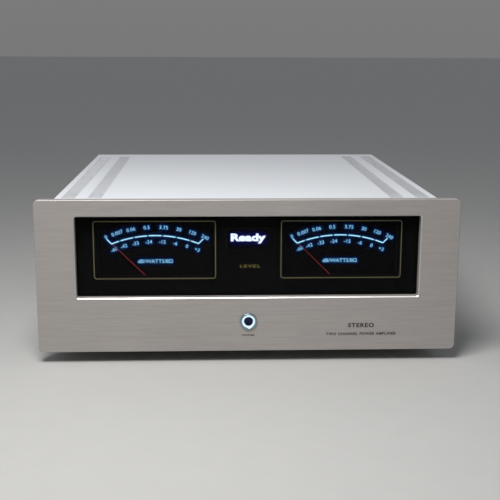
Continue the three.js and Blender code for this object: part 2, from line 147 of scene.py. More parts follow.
def bumped(tree, shader, height, strength, distance):
    made = node(tree, "ShaderNodeBump", {"Height": height, "Strength": strength, "Distance": distance})
    tree.links.new(made.outputs[0], shader.inputs["Normal"])


def look(name, color, roughness, metallic=0.0, **sockets):
    """A new material with its Principled shader, as (material, tree, shader)."""
    material = bpy.data.materials.new(name)
    material.use_nodes = True
    tree = material.node_tree
    shader = tree.nodes["Principled BSDF"]
    shader.inputs["Base Color"].default_value = (*color, 1)
    shader.inputs["Roughness"].default_value = roughness
    shader.inputs["Metallic"].default_value = metallic
    for key, value in sockets.items():
        shader.inputs[key.replace("_", " ")].default_value = value
    return material, tree, shader


def lighter(color, share):
    return tuple(min(1.0, channel * (1 + share)) for channel in color)


def tones(tree, shader, factor, color, first, second):
    """Lets a factor take the surface between two tones of its colour."""
    made = tint(tree, factor, lighter(color, first), lighter(color, second))
    tree.links.new(made, shader.inputs["Base Color"])


# ---------------------------------------------------------------- finishes


def brushed(name, color, roughness, stretch, contrast=0.05, anisotropic=0.35, metallic=1.0):
    """Metal with fine lines along the axis where stretch is small."""
    material, tree, shader = look(name, color, roughness, metallic, Anisotropic=anisotropic)
    lines = noise(tree, object_place(tree, stretch), 1.0, 4.0, 0.75)
    clouds = noise(tree, object_place(tree), 9.0, 2.0)
    mixed = math_node(tree, "MULTIPLY_ADD", lines, 0.75)
    tree.links.new(math_node(tree, "MULTIPLY", clouds, 0.25), mixed.node.inputs[2])
    tones(tree, shader, mixed, color, -contrast, contrast)
    tree.links.new(between(tree, lines, roughness - 0.06, roughness + 0.06), shader.inputs["Roughness"])
    bumped(tree, shader, lines, 0.12, 0.0002)
    return material


def blasted(name, color, roughness, metallic=1.0, contrast=0.03):
    """Bead-blasted and anodised metal: an even, fine grain under slow changes of tone."""
    material, tree, shader = look(name, color, roughness, metallic)
    grain = noise(tree, object_place(tree), 2200.0, 2.0)
    clouds = noise(tree, object_place(tree), 7.0, 3.0)
    tones(tree, shader, clouds, color, -contrast, contrast)
    tree.links.new(between(tree, grain, roughness - 0.05, roughness + 0.05), shader.inputs["Roughness"])
    bumped(tree, shader, grain, 0.10, 0.00015)
    return material


def moulded(name, color, roughness, grain_size=1500.0, strength=0.12, **sockets):
    """Moulded or painted surface with a fine texture and a little dust in its tone."""
    material, tree, shader = look(name, color, roughness, 0.0, **sockets)
    grain = noise(tree, object_place(tree), grain_size, 2.0)
    dust = noise(tree, object_place(tree), 60.0, 4.0)
    tones(tree, shader, dust, color, 0.0, 0.35)
    tree.links.new(between(tree, dust, roughness - 0.06, roughness + 0.08), shader.inputs["Roughness"])
    bumped(tree, shader, grain, strength, 0.0001)
    return material


def polished(name, color, roughness=0.14):
    """Turned and polished metal with faint handling marks."""
    material, tree, shader = look(name, color, roughness, 1.0)
    marks = noise(tree, object_place(tree), 140.0, 4.0, 0.6)
    tree.links.new(between(tree, marks, roughness - 0.05, roughness + 0.10), shader.inputs["Roughness"])
    tones(tree, shader, marks, color, -0.06, 0.0)
    return material


def lit(name, color, strength, variation=0.12):
    """Translucent marking lit from behind, a little uneven along its length."""
    material, tree, shader = look(name, (0.0, 0.0, 0.0), 0.6, 0.0)
    shader.inputs["Emission Color"].default_value = (*color, 1)
    patches = noise(tree, object_place(tree), 120.0, 1.0)
    level = between(tree, patches, strength * (1 - variation), strength * (1 + variation))
    tree.links.new(level, shader.inputs["Emission Strength"])
    return material


def tinted_glass(name):
    """Dark polished glass. What is lit behind it shows through."""
    color = (0.002, 0.002, 0.0025)
    material, tree, shader = look(name, color, 0.05, 0.0, Alpha=0.30, Specular_IOR_Level=0.12)
    smears = noise(tree, object_place(tree), 22.0, 3.0)
    tree.links.new(between(tree, smears, 0.03, 0.09), shader.inputs["Roughness"])
    return material


def soft_glow(name, color, strength):
    """Light that spreads in the dial's face, by each point's own glow value."""
    material, tree, shader = look(name, (0.002, 0.0022, 0.003), 0.85, 0.0, Specular_IOR_Level=0.05)
    level = node(tree, "ShaderNodeAttribute", attribute_name="glow").outputs["Fac"]
    shader.inputs["Emission Color"].default_value = (*color, 1)
    tree.links.new(math_node(tree, "MULTIPLY", level, strength), shader.inputs["Emission Strength"])
    return material


def glowing_screen(name):
    """Black screen with a soft blue glow round its line of characters."""
    half_line, reach, brightest = 0.0145, 0.0076, 0.28
    material, tree, shader = look(name, (0.002, 0.002, 0.004), 0.25, 0.0, Specular_IOR_Level=0.05)
    line_place = object_place(tree, shift=(0, 0, -FOOTING - DISPLAY_LINE))
    place = node(tree, "ShaderNodeSeparateXYZ", {0: line_place}).outputs
    past_end = math_node(tree, "SUBTRACT", math_node(tree, "ABSOLUTE", place["X"]), half_line)
    across = math_node(tree, "POWER", math_node(tree, "MAXIMUM", past_end, 0.0), 2.0)
    height = math_node(tree, "MULTIPLY", math_node(tree, "ABSOLUTE", place["Z"]), 0.8)
    upwards = math_node(tree, "POWER", height, 2.0)
    distance = math_node(tree, "SQRT", math_node(tree, "ADD", across, upwards))
    values = {"Value": distance, "From Max": reach, "To Min": brightest, "To Max": 0.0}
    fade = node(tree, "ShaderNodeMapRange", values, interpolation_type="SMOOTHSTEP").outputs[0]
    shader.inputs["Emission Color"].default_value = (0.004, 0.01, 0.5, 1)
    tree.links.new(fade, shader.inputs["Emission Strength"])
    return material


def ink(name, color):
    material, tree, shader = look(name, color, 0.55, 0.0)
    fleck = noise(tree, object_place(tree), 3000.0, 1.0)
    tones(tree, shader, fleck, color, -0.2, 0.2)
    return material


def circuit(name):
    """Green solder mask over copper tracks."""
    base = (0.012, 0.10, 0.045)
    material, tree, shader = look(name, base, 0.35, 0.0)
    place = object_place(tree, (180, 180, 180))
    tracks = node(tree, "ShaderNodeTexVoronoi", {"Vector": place, "Scale": 1.0}, distance="CHEBYCHEV")
    values = {"Value": tracks.outputs["Distance"], "From Min": 0.32, "From Max": 0.38}
    edges = node(tree, "ShaderNodeMapRange", values).outputs[0]
    tree.links.new(tint(tree, edges, (0.02, 0.17, 0.07), base), shader.inputs["Base Color"])
    bumped(tree, shader, edges, 0.2, 0.0001)
    return material


LOOKS = {
    "panel": brushed("brushed_warm_grey", (0.385, 0.36, 0.345), 0.42, (30.0, 30.0, 700.0), 0.30, 0.35, 0.4),
    "anodised": blasted("blasted_silver", (0.74, 0.765, 0.80), 0.5, 0.25),
    # Painted shade: near-black silver for the inner walls of the cover's slots, so that the slots read dark; the real
    # walls are the cover's own silver.
    "slot_painted_shade": blasted("painted_shade_silver", (0.05, 0.052, 0.055), 0.6, 0.1),
    "cut_edge": polished("bright_cut_edge", (0.88, 0.86, 0.83), 0.36),
    "rear": blasted("blasted_grey", (0.58, 0.60, 0.62), 0.5, 0.4),
    "sink": brushed("extruded_aluminium", (0.62, 0.63, 0.65), 0.40, (900.0, 900.0, 6.0), 0.06, 0.2),
    "foot": polished("turned_grey_aluminium", (0.45, 0.46, 0.47), 0.32),
    "plated": brushed("zinc_plate", (0.56, 0.57, 0.55), 0.36, (260.0, 40.0, 260.0), 0.08, 0.0),
    "glass": tinted_glass("dark_glass"),
    "black_plastic": moulded("black_moulding", (0.010, 0.010, 0.011), 0.5),
    "dark_frame": moulded("dull_black_frame", (0.003, 0.003, 0.0035), 0.7, 900.0, 0.03, Specular_IOR_Level=0.06),
    "gloss_black": moulded("black_gloss_moulding", (0.012, 0.012, 0.013), 0.22, 900.0, 0.04),
    "red_plastic": moulded("red_gloss_moulding", (0.42, 0.012, 0.012), 0.22, 900.0, 0.04),
    "dial": moulded("dial_black", (0.002, 0.0022, 0.003), 0.85, 900.0, 0.02, Specular_IOR_Level=0.05),
    "needle": moulded("needle_red", (0.42, 0.022, 0.026), 0.5, 900.0, 0.02),
    "arc_light": lit("arc_light", (0.42, 0.80, 1.0), 2.3),
    "scale_light": lit("scale_light", (0.30, 0.70, 1.0), 2.15),
    "scale_glow": soft_glow("scale_glow", (0.0, 0.075, 0.40), 0.6),
    "character_light": lit("character_light", (0.72, 0.80, 1.0), 2.6, 0.05),
    "character_halo": lit("character_halo", (0.002, 0.002, 0.5), 0.55, 0.3),
    "ring_light": lit("ring_light", (0.74, 0.92, 1.0), 1.05, 0.06),
    "screen": glowing_screen("screen_black"),
    "steel": polished("polished_steel", (0.62, 0.63, 0.65), 0.2),
    "rim": polished("blue_tinted_steel", (0.30, 0.42, 0.47), 0.3),
    "head": polished("blue_black_anodised", (0.020, 0.028, 0.075), 0.3),
    "rubber": moulded("black_rubber", (0.012, 0.012, 0.012), 0.85, 700.0, 0.3),
    "gold": polished("gold_plate", (0.86, 0.62, 0.26), 0.16),
    "gold_ink": ink("gold_ink", (0.105, 0.092, 0.042)),
    "gold_letters": ink("gold_letters", (0.22, 0.18, 0.05)),
    "dark_ink": ink("dark_ink", (0.016, 0.015, 0.015)),
    "tape": moulded("winding_tape", (0.42, 0.24, 0.05), 0.28, 400.0, 0.15),
    "board": circuit("circuit_board"),
    "dark_can": moulded("dark_sleeve", (0.010, 0.012, 0.020), 0.35, 700.0, 0.05),
    "white_plastic": moulded("white_moulding", (0.70, 0.69, 0.66), 0.4, 900.0, 0.04),
    "ceramic": moulded("white_ceramic", (0.62, 0.60, 0.55), 0.8, 500.0, 0.3),
    "black_ink": ink("black_ink", (0.02, 0.02, 0.02)),
}


# ---------------------------------------------------------------- outlines: each is a function of its inset


def rounded(x0, x1, y0, y1, radius, steps=6):
    def outline(inset=0.0):
        points = []
        corners = ((x1, y0, -90), (x1, y1, 0), (x0, y1, 90), (x0, y0, 180))
        for x, y, start in corners:
            middle_x = x - math.copysign(radius, x - (x0 + x1) / 2)
            middle_y = y - math.copysign(radius, y - (y0 + y1) / 2)
            for i in range(steps + 1):
                angle = math.radians(start + 90 * i / steps)
                reach = radius - inset
                points.append((middle_x + reach * math.cos(angle), middle_y + reach * math.sin(angle)))
        return points

    return outline


def disc(x, y, radius, sides=48):
    def outline(inset=0.0):
        angles = [2 * math.pi * i / sides for i in range(sides)]
        return [(x + (radius - inset) * math.cos(a), y + (radius - inset) * math.sin(a)) for a in angles]

    return outline


def shaped(points):
    """Any closed line of points, run anticlockwise, with its corners mitred when it is inset."""

    def outline(inset=0.0):
        line = []
        for before, here, after in zip(points[-1:] + points[:-1], points, points[1:] + points[:1]):
            arriving = (Vector(here) - Vector(before)).normalized()
            leaving = (Vector(after) - Vector(here)).normalized()
            inward = Vector((-arriving.y - leaving.y, arriving.x + leaving.x))
            line.append(tuple(Vector(here) + inward * inset / max(0.3, inward.length_squared / 2)))
        return line

    return outline


def ringed(x, y, sides, radius, turn=0.0):
    """Points round a centre. The radius is a number, or a function of the point's number."""
    points = []
    for i in range(sides):
        angle = 2 * math.pi * i / sides + math.radians(turn)
        reach = radius(i) if callable(radius) else radius
        points.append((x + reach * math.cos(angle), y + reach * math.sin(angle)))
    return points


def moved(outline, x, y):
    return lambda inset=0.0: [(px + x, py + y) for px, py in outline(inset)]


# ------------------------------------------------------------ mesh builders: each adds a closed shell to bm


def upright(x, y, depth):
    return Vector((x, depth, y))


def level(x, y, depth):
    return Vector((x, y, depth))


def bridge(bm, first, second):
    count = len(first)
    for i in range(count):
        bm.faces.new((first[i], first[(i + 1) % count], second[(i + 1) % count], second[i]))


def edge_profile(near, far, edge, steps):
    """Insets and depths down the side of a plate, round at both ends."""
    quarter = [(math.sin(a), math.cos(a)) for a in (math.pi / 2 * i / steps for i in range(steps + 1))]
    profile = [(edge * (1 - s), near + edge * (1 - c)) for s, c in quarter]
    return profile + [(edge * (1 - s), far - edge * (1 - c)) for s, c in reversed(quarter)]


def plate(bm, outer, holes, near, far, edge=0.0003, place=upright, steps=2, cut=0.0):
    """A flat plate with rounded edges. The first hole's edges may be cut at 45 degrees."""
    near_edges = []
    far_edges = []
    for number, outline in enumerate([outer, *holes]):
        side = 1 if number == 0 else -1
        chamfered = cut and number == 1
        profile = edge_profile(near, far, cut if chamfered else edge, 1 if chamfered else steps)
        rings = [[bm.verts.new(place(x, y, depth)) for x, y in outline(side * inset)]
                 for inset, depth in profile]
        for first, second in zip(rings, rings[1:]):
            bridge(bm, first, second)
        near_edges += [bm.edges.get((a, b)) for a, b in zip(rings[0], rings[0][1:] + rings[0][:1])]
        far_edges += [bm.edges.get((a, b)) for a, b in zip(rings[-1], rings[-1][1:] + rings[-1][:1])]
    bmesh.ops.triangle_fill(bm, use_beauty=True, use_dissolve=False, edges=near_edges)
    bmesh.ops.triangle_fill(bm, use_beauty=True, use_dissolve=False, edges=far_edges)


def block(bm, low, high, edge=0.0003):
    """A box with rounded edges, between two corners."""
    outer = rounded(low[0], high[0], low[2], high[2], edge * 1.5, 2)
    plate(bm, outer, [], low[1], high[1], edge)


def soften(points, radius, steps=3):
    """An open line of points with each corner between its ends rounded."""
    smooth = [Vector(points[0])]
    for before, corner, after in zip(points, points[1:], points[2:]):
        before, corner, after = Vector(before), Vector(corner), Vector(after)
        reach = min(radius, (before - corner).length * 0.45, (after - corner).length * 0.45)
        start = corner + (before - corner).normalized() * reach
        end = corner + (after - corner).normalized() * reach
        for i in range(steps + 1):
            t = i / steps
            smooth.append(start * (1 - t) ** 2 + corner * 2 * t * (1 - t) + end * t**2)
    return [tuple(point) for point in smooth] + [tuple(points[-1])]


def turned(bm, profile, centre, sides=64, closed=False, upright_axis=False):
    """A profile of (radius, distance along the axis), turned about an axis through centre."""
    centre = Vector(centre)
    rings = []
    for radius, along in profile:
        if radius < 1e-6:
            point = Vector((0, 0, along)) if upright_axis else Vector((0, along, 0))
            rings.append([bm.verts.new(centre + point)])
            continue
        ring = []
        for i in range(sides):
            a = 2 * math.pi * i / sides
            x, y = radius * math.cos(a), radius * math.sin(a)
            offset = (x, y, along) if upright_axis else (x, along, y)
            ring.append(bm.verts.new(centre + Vector(offset)))
        rings.append(ring)
    pairs = list(zip(rings, rings[1:]))
    if closed:
        pairs.append((rings[-1], rings[0]))
    for first, second in pairs:
        if len(first) == 1 and len(second) == 1:
            continue
        if len(first) == 1 or len(second) == 1:
            tip, ring = (first, second) if len(first) == 1 else (second, first)
            for i in range(sides):
                bm.faces.new((tip[0], ring[i], ring[(i + 1) % sides]))
            continue
        bridge(bm, first, second)


def tube(bm, points, radius, sides=12):
    """Round wire or lead along a line of points, with closed ends."""
    points = [Vector(point) for point in points]
    side = (points[1] - points[0]).orthogonal().normalized()
    rings = []
    for i, point in enumerate(points):
        along = (points[min(i + 1, len(points) - 1)] - points[max(i - 1, 0)]).normalized()
        side = (side - along * side.dot(along)).normalized()
        across = along.cross(side)
        angles = [2 * math.pi * k / sides for k in range(sides)]
        rings.append([bm.verts.new(point + (side * math.cos(a) + across * math.sin(a)) * radius)
                      for a in angles])
    for first, second in zip(rings, rings[1:]):
        bridge(bm, first, second)
    bm.faces.new(rings[0])
    bm.faces.new(rings[-1])


def smooth_route(points, steps=8):
    """A soft line through points."""
    points = [Vector(point) for point in points]
    line = []
    for i in range(len(points) - 1):
        before, start, end, after = (points[max(0, min(len(points) - 1, i + k))] for k in (-1, 0, 1, 2))
        for k in range(steps):
            t = k / steps
            square = (2 * before - 5 * start + 4 * end - after) * t**2
            cube = (3 * start - before - 3 * end + after) * t**3
            line.append(0.5 * (2 * start + (end - before) * t + square + cube))
    return line + [points[-1]]


def linked(name, data):
    """A new object in the scene."""
    made = bpy.data.objects.new(name, data)
    bpy.context.scene.collection.objects.link(made)
    return made


def as_mesh(name, bm, merge=True):
    """Ends a bmesh: what meets is merged, and the normals face outwards."""
    if merge:
        bmesh.ops.remove_doubles(bm, verts=bm.verts, dist=1e-7)
    bmesh.ops.recalc_face_normals(bm, faces=bm.faces)
    mesh = bpy.data.meshes.new(name)
    bm.to_mesh(mesh)
    bm.free()
    return mesh


def result_of(holder):
    """The mesh that an object gives once its modifiers have run. The object is removed."""
    depsgraph = bpy.context.evaluated_depsgraph_get()
    mesh = bpy.data.meshes.new_from_object(holder.evaluated_get(depsgraph))
    bpy.data.objects.remove(holder)
    return mesh


def poured(bm, mesh):
    """Adds a mesh to bm. The mesh is removed."""
    bm.from_mesh(mesh)
    bpy.data.meshes.remove(mesh)
    return bm


def piece(name, bm, finish, body="chassis", stands_for=(), angle=20):
    """Makes bm a visible piece that rides on its body."""
    return placed(name, as_mesh(name, bm), finish, body, stands_for, angle)


def placed(name, mesh, finish, body="chassis", stands_for=(), angle=20):
    """Makes a mesh a visible piece, smooth but for its sharp edges, that rides on its body."""
    mesh.name = name
    mesh.shade_smooth()
    mesh.set_sharp_from_angle(angle=math.radians(angle))
    mesh.materials.clear()
    mesh.materials.append(LOOKS[finish])
    made = linked(name, mesh)
    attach(made, body)
    if stands_for:
        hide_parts(*stands_for)
    return made


def flat_piece(name, node_name, finish, radius, steps, edge, holes=()):
    """A plate that fills the box of the CAD node it stands for."""
    box = Span(node_name)
    bm = bmesh.new()
    plate(bm, box.face(radius, steps), holes, box.low.y, box.high.y, edge)
    piece(name, bm, finish, stands_for=[node_name])


# ---------------------------------------------------------------- lettering


def letters(text, height, bold=0.0, width=None, spacing=1.0, thickness=0.00006):
    """Text as a flat mesh in x and z, facing -Y, centred on the origin."""
    curve = bpy.data.curves.new("lettering", "FONT")
    curve.body = text
    curve.align_x = "CENTER"
    curve.extrude = 0.02
    curve.offset = bold
    curve.space_character = spacing
    curve.resolution_u = 3
    mesh = result_of(linked("lettering", curve))
    bpy.data.curves.remove(curve)
    corners = [v.co for v in mesh.vertices]
    low = Vector([min(c[i] for c in corners) for i in range(3)])
    high = Vector([max(c[i] for c in corners) for i in range(3)])
    size = high - low
    tall = height / size.y
    wide = width / size.x if width else tall
    mesh.transform(Matrix.Translation(-(low + high) / 2))
    mesh.transform(Matrix.Diagonal((wide, tall, thickness / size.z, 1)))
    mesh.transform(Matrix.Rotation(math.pi / 2, 4, "X"))
    return mesh


def add_letters(bm, mesh, x, depth, z, turn=0.0):
    """Adds lettering to bm, turned clockwise by so many degrees as seen from the front."""
    mesh.transform(Matrix.Translation((x, depth, z)) @ Matrix.Rotation(math.radians(turn), 4, "Y"))
    poured(bm, mesh)


# ---------------------------------------------------------------- front


def front_panel():
    """Thick brushed plate. The edge of its window is cut bright at 45 degrees."""
    bm = bmesh.new()
    cut, edge = 0.0009, 0.0007
    window = GLASS.face(0.002, 6, -GLASS_LAP)
    holes = [window, disc(BUTTON.x, BUTTON.z, 0.0082)]
    plate(bm, PANEL.face(0.005, 10), holes, FACE, PANEL.high.y, edge, steps=4, cut=cut)
    panel = piece("front_panel_plate", bm, "panel",
                  stands_for=["front_panel"], angle=10)
    panel.data.materials.append(LOOKS["cut_edge"])
    across = [x for x, _ in window(-cut)]
    up = [z for _, z in window(-cut)]
    for face in panel.data.polygons:
        slanting = abs(face.normal.y + math.sqrt(0.5)) < 0.02
        at_window = min(across) < face.center.x < max(across) and min(up) < face.center.z < max(up)
        if slanting and at_window:
            face.material_index = 1


def gold_frame(name):
    """Thin line printed round a meter on the face of the glass."""
    bm = bmesh.new()
    x, half, line, radius = METER_X[name], 0.0624, 0.0010, 0.003
    low, high = FOOTING + 0.0744, FOOTING + 0.1350
    outer = rounded(x - half, x + half, low, high, radius)
    inner = rounded(x - half + line, x + half - line, low + line, high - line, radius - line)
    plate(bm, outer, [inner], GLASS.low.y - 0.00008, GLASS.low.y - 0.00002, 0.00001, steps=1)
    piece(f"meter_{name}_gold_line", bm, "gold_ink")


def panel_lettering():
    """Words on the panel, then the one on the glass. Each has its middle, width and height."""
    panel = ("dark_ink", "grey_panel_aluminium", FACE - 0.00004, 0.035, 1.15)
    glass = ("gold_letters", "dark_glass", GLASS.low.y - 0.00006, 0.0, 1.3)
    for name, text, x, z, width, height, (finish, slot, depth, bold, spacing) in (
        ("label_power", "POWER", 0.0, 0.0168, 0.0127, 0.0018, panel),
        ("label_stereo", "STEREO", 0.1165, 0.0266, 0.0270, 0.0047, panel),
        ("label_function", "TWO CHANNEL POWER AMPLIFIER", 0.1168, 0.0174, 0.0730, 0.0031, panel),
        ("label_level", "LEVEL", 0.002, 0.0875, 0.0205, 0.0031, glass),
    ):
        bm = bmesh.new()
        add_letters(bm, letters(text, height, bold, width, spacing), x, depth, FOOTING + z)
        piece(name, bm, finish)


def power_button():
    """Rim in the panel, lit ring inside it, and the cap. Depths are behind the panel's face."""
    housing_end = Span("button_housing").high.y - FACE
    rim = [(0.0, 0.012), (0.0052, 0.012), (0.0052, 0.0045), (0.0067, 0.0045), (0.0067, -0.0011), (0.0071, -0.0015),
           (0.0083, -0.0015), (0.0086, -0.0011), (0.0086, -0.0003), (0.0079, -0.0003), (0.0079, housing_end),
           (0.0, housing_end)]
    ring = [(0.00495, -0.0009), (0.0054, -0.0012), (0.0061, -0.0012), (0.0066, -0.0009), (0.0066, 0.0042),
            (0.00495, 0.0042)]
    head = [(0.0, -0.0011), (0.0022, -0.0012), (0.0036, -0.0016), (0.0042, -0.0015), (0.0046, -0.0009),
            (0.0046, 0.006), (0.0, 0.006)]
    for name, profile, round_off, finish, slot, body, node_name in (
        ("button_rim", rim, 0.0002, "rim", "polished_steel", "chassis", "button_housing"),
        ("button_ring", ring, None, "ring_light", "lit_diffuser", "chassis", "button_light_ring"),
        ("button_head", head, 0.0004, "head", "button_blue_black", "power_button", "button_cap"),
    ):
        bm = bmesh.new()
        line = soften(profile, round_off) if round_off else profile
        turned(bm, line, (BUTTON.x, FACE, BUTTON.z), 72, closed=not round_off)
        piece(name, bm, finish, body, [node_name])


# ---------------------------------------------------------------- meters and display


def polar(x, radius, angle):
    """A point of the dial at a radius and an angle from upright, as x and height."""
    turn = math.radians(angle)
    return x + radius * math.sin(turn), FOOTING + ARC["height"] + radius * math.cos(turn)


def arc_band(bm, x, start, end, near, far):
    """Curved bar along the scale between two angles."""
    half = ARC["width"] / 2
    steps = max(2, round((end - start) / 1.2))
    angles = [start + (end - start) * i / steps for i in range(steps + 1)]
    inside = [polar(x, ARC["radius"] - half, a) for a in angles]
    outside = [polar(x, ARC["radius"] + half, a) for a in angles]
    straight_bar(bm, inside + outside[::-1], near, far)


def straight_bar(bm, loop, near, far):
    """Bar with the same outline at both depths, which runs out along one side and back along the other."""
    rings = [[bm.verts.new((x, depth, z)) for x, z in loop] for depth in (near, far)]
    bridge(bm, *rings)
    for ring in rings:
        for i in range(len(ring) // 2 - 1):
            bm.faces.new((ring[i], ring[i + 1], ring[-i - 2], ring[-i - 1]))


def end_tick(bm, x, side, near, far):
    """Slanted stroke that closes one end of the scale."""
    width, short, long = ARC["width"] * 0.9, 0.0004, 0.0070
    start = Vector(polar(x, ARC["radius"], side * ARC["half_angle"]))
    along = Vector((side, 1)).normalized()
    across = Vector((along.y, -along.x)) * width / 2
    a, b = start - along * short, start + along * long
    straight_bar(bm, [tuple(a - across), tuple(b - across), tuple(b + across), tuple(a + across)], near, far)


def scale_lines(x, dial_face):
    """The curved line of one dial in its lengths, and the stroke at each end."""
    near, far = dial_face - 0.0003, dial_face - 0.0002
    end, half_gap = ARC["half_angle"], ARC["gap"] / 2
    starts = [-end] + [stop + half_gap for stop in ARC_BREAKS]
    ends = [stop - half_gap for stop in ARC_BREAKS] + [end]
    bm = bmesh.new()
    for first, last in zip(starts, ends):
        arc_band(bm, x, first, last, near, far)
    for _, side in SIDES:
        end_tick(bm, x, side, near - 0.00002, far)
    return bm


def scale_figures(x, dial_face):
    """Both rows of figures and the caption under them."""
    depth = dial_face - 0.00025
    bm = bmesh.new()
    for row in (UPPER_ROW, LOWER_ROW):
        for mark, angle in zip(row["marks"], row["angles"]):
            px, pz = polar(x, row["radius"], angle)
            add_letters(bm, letters(mark, FIGURE_HEIGHT, spacing=1.05), px, depth, pz, angle * 1.15)
    caption = letters("dB/WATTS/8\u03a9", 0.0040, width=0.0356)
    add_letters(bm, caption, x, depth, FOOTING + 0.0912)
    return bm


def glow_sheet(dial, bottom, marks):
    """Face of one dial as a fine net that glows by how close each point is to a lit mark."""
    step, rim, reach, thickness = 0.0005, 0.0010, 0.0012, 0.00006
    low = Vector((dial.low.x + rim, dial.low.y - 0.00010, bottom))
    width, height = dial.size.x - 2 * rim, dial.high.z - rim - bottom
    columns, rows = round(width / step), round(height / step)
    trees = [BVHTree.FromBMesh(mark) for mark in marks]
    bm = bmesh.new()
    glow = bm.verts.layers.float.new("glow")
    net = []
    for i in range(columns + 1):
        x = width * i / columns
        line = [bm.verts.new(low + Vector((x, 0, height * j / rows))) for j in range(rows + 1)]
        for vertex in line:
            distance = min(tree.find_nearest(vertex.co)[3] for tree in trees)
            vertex[glow] = math.exp(-(distance / reach) ** 1.4)
        net.append(line)
    for first, second in zip(net, net[1:]):
        for j in range(rows):
            bm.faces.new((first[j], second[j], second[j + 1], first[j + 1]))
    lower, upper = [line[0] for line in net], [line[-1] for line in reversed(net[:-1])]
    edge = lower + net[-1][1:] + upper + net[0][-2:0:-1]
    back = [bm.verts.new(vertex.co + Vector((0, thickness, 0))) for vertex in edge]
    bridge(bm, edge, back)
    bm.faces.new(back)
    return bm


def meter_scale(name):
    """Lit marks of one dial, and the glow that they spread over its face."""
    x, dial = METER_X[name], Span(f"meter_{name}_dial")
    lines, figures = scale_lines(x, dial.low.y), scale_figures(x, dial.low.y)
    glow = glow_sheet(dial, Span(f"meter_{name}_mask").high.z, (lines, figures))
    for part, bm, finish in (
        ("glow", glow, "scale_glow"), ("scale", lines, "arc_light"), ("figures", figures, "scale_light"),
    ):
        piece(f"meter_{name}_{part}", bm, finish)


def meter_needle(name):
    """Pointer, hub and balance weight, at rest at the dial's left. Depths are behind the panel's face."""
    pivot = Vector(JOINTS[f"{name}_needle_swing"]["pos_m"])
    staff_end = Span(f"meter_{name}_needle").high.y - FACE
    near, far, length, back = FACE + 0.0164, FACE + 0.0170, 0.061, -0.007
    tail, root, tip = 0.00080, 0.00065, 0.00030
    outline = [(-tail, back), (tail, back), (root, 0.006), (tip, length), (-tip, length), (-root, 0.006)]
    turn = Matrix.Rotation(math.radians(45), 2)
    loop = [turn @ Vector(point) for point in outline]
    rings = []
    bm = bmesh.new()
    for depth in (near, far):
        rings.append([bm.verts.new((pivot.x + p.x, depth, pivot.z + p.y)) for p in loop])
        bm.faces.new(rings[-1])
    bridge(bm, *rings)
    hub = [(0.0, 0.0159), (0.0034, 0.0159), (0.0034, 0.018), (0.001, 0.018), (0.001, staff_end), (0.0, staff_end)]
    turned(bm, soften(hub, 0.0003), (pivot.x, FACE, pivot.z), 32)
    weight = [(0.0, 0.016), (0.0016, 0.016), (0.0016, 0.0174), (0.0, 0.0174)]
    place = turn @ Vector((0, -0.0064))
    turned(bm, soften(weight, 0.0003), (pivot.x + place.x, FACE, pivot.z + place.y), 24)
    piece(f"meter_{name}_pointer", bm, "needle", f"{name}_needle", [f"meter_{name}_needle"])


def meter_shell(name):
    """Moulded case with a rim behind the glass."""
    box = Span(f"meter_{name}_case")
    side, top, wall, lip, back = 0.002, 0.0015, 0.0015, 0.001, 0.0015
    mouth = box.face(0.0015, 6, -side - wall, -top - wall)
    tube_outline = box.face(0.002, 6, -side, -top)
    bm = bmesh.new()
    plate(bm, box.face(0.002), [mouth], box.low.y, box.low.y + lip, 0.0003)
    plate(bm, tube_outline, [mouth], box.low.y + lip, box.high.y - back, 0.0002)
    plate(bm, tube_outline, [], box.high.y - back, box.high.y, 0.0004)
    piece(f"meter_{name}_shell", bm, "dark_frame", stands_for=[f"meter_{name}_case"])


def meter(name):
    meter_shell(name)
    flat_piece(f"meter_{name}_strip", f"meter_{name}_mask", "dark_frame", 0.0006, 3, 0.0003)
    meter_scale(name)
    meter_needle(name)
    gold_frame(name)
    meter_inside(name)


def display():
    """Screen, its characters, and a close halo behind them."""
    flat_piece("display_glass", "display_screen", "screen", 0.001, 3, 0.0002)
    face = Span("display_screen").low.y
    for suffix, finish, bold, extra, depth in (
        ("characters", "character_light", 0.05, 0.0, 0.0002),
        ("halo", "character_halo", 0.10, 0.0012, 0.0001),
    ):
        bm = bmesh.new()
        text = letters("Ready", 0.0105 + extra, bold, width=0.036 + extra, thickness=0.00005)
        add_letters(bm, text, 0.0, face - depth, FOOTING + DISPLAY_LINE)
        piece(f"display_{suffix}", bm, finish)


# ---------------------------------------------------------------- repeats, by geometry nodes


def geometry_tree(name, **inputs):
    """A new tree with these inputs and one output, and the sockets that its inputs come from."""
    tree = bpy.data.node_groups.new(name, "GeometryNodeTree")
    for label, kind in inputs.items():
        tree.interface.new_socket(name=label, in_out="INPUT", socket_type=f"NodeSocket{kind}")
    tree.interface.new_socket(name="Geometry", in_out="OUTPUT", socket_type="NodeSocketGeometry")
    return tree, node(tree, "NodeGroupInput").outputs


def painted(tree, shape, source):
    """Ends a tree with its material."""
    inputs = {"Geometry": shape.outputs[0], "Material": source["Material"]}
    made = node(tree, "GeometryNodeSetMaterial", inputs)
    node(tree, "NodeGroupOutput", {"Geometry": made.outputs[0]})
    return tree


def repeat_tree():
    """Copies the incoming shape along a line and joins the copies."""
    tree, source = geometry_tree(
        "repeat_along_a_line", Geometry="Geometry", Count="Int", Step="Vector", Weld="Float", Material="Material"
    )
    values = {"Count": source["Count"], "Offset": source["Step"]}
    line = node(tree, "GeometryNodeMeshLine", values, mode="OFFSET")
    values = {"Points": line.outputs[0], "Instance": source["Geometry"]}
    copies = node(tree, "GeometryNodeInstanceOnPoints", values)
    real = node(tree, "GeometryNodeRealizeInstances", {"Geometry": copies.outputs[0]})
    values = {"Geometry": real.outputs[0], "Distance": source["Weld"]}
    return painted(tree, node(tree, "GeometryNodeMergeByDistance", values), source)


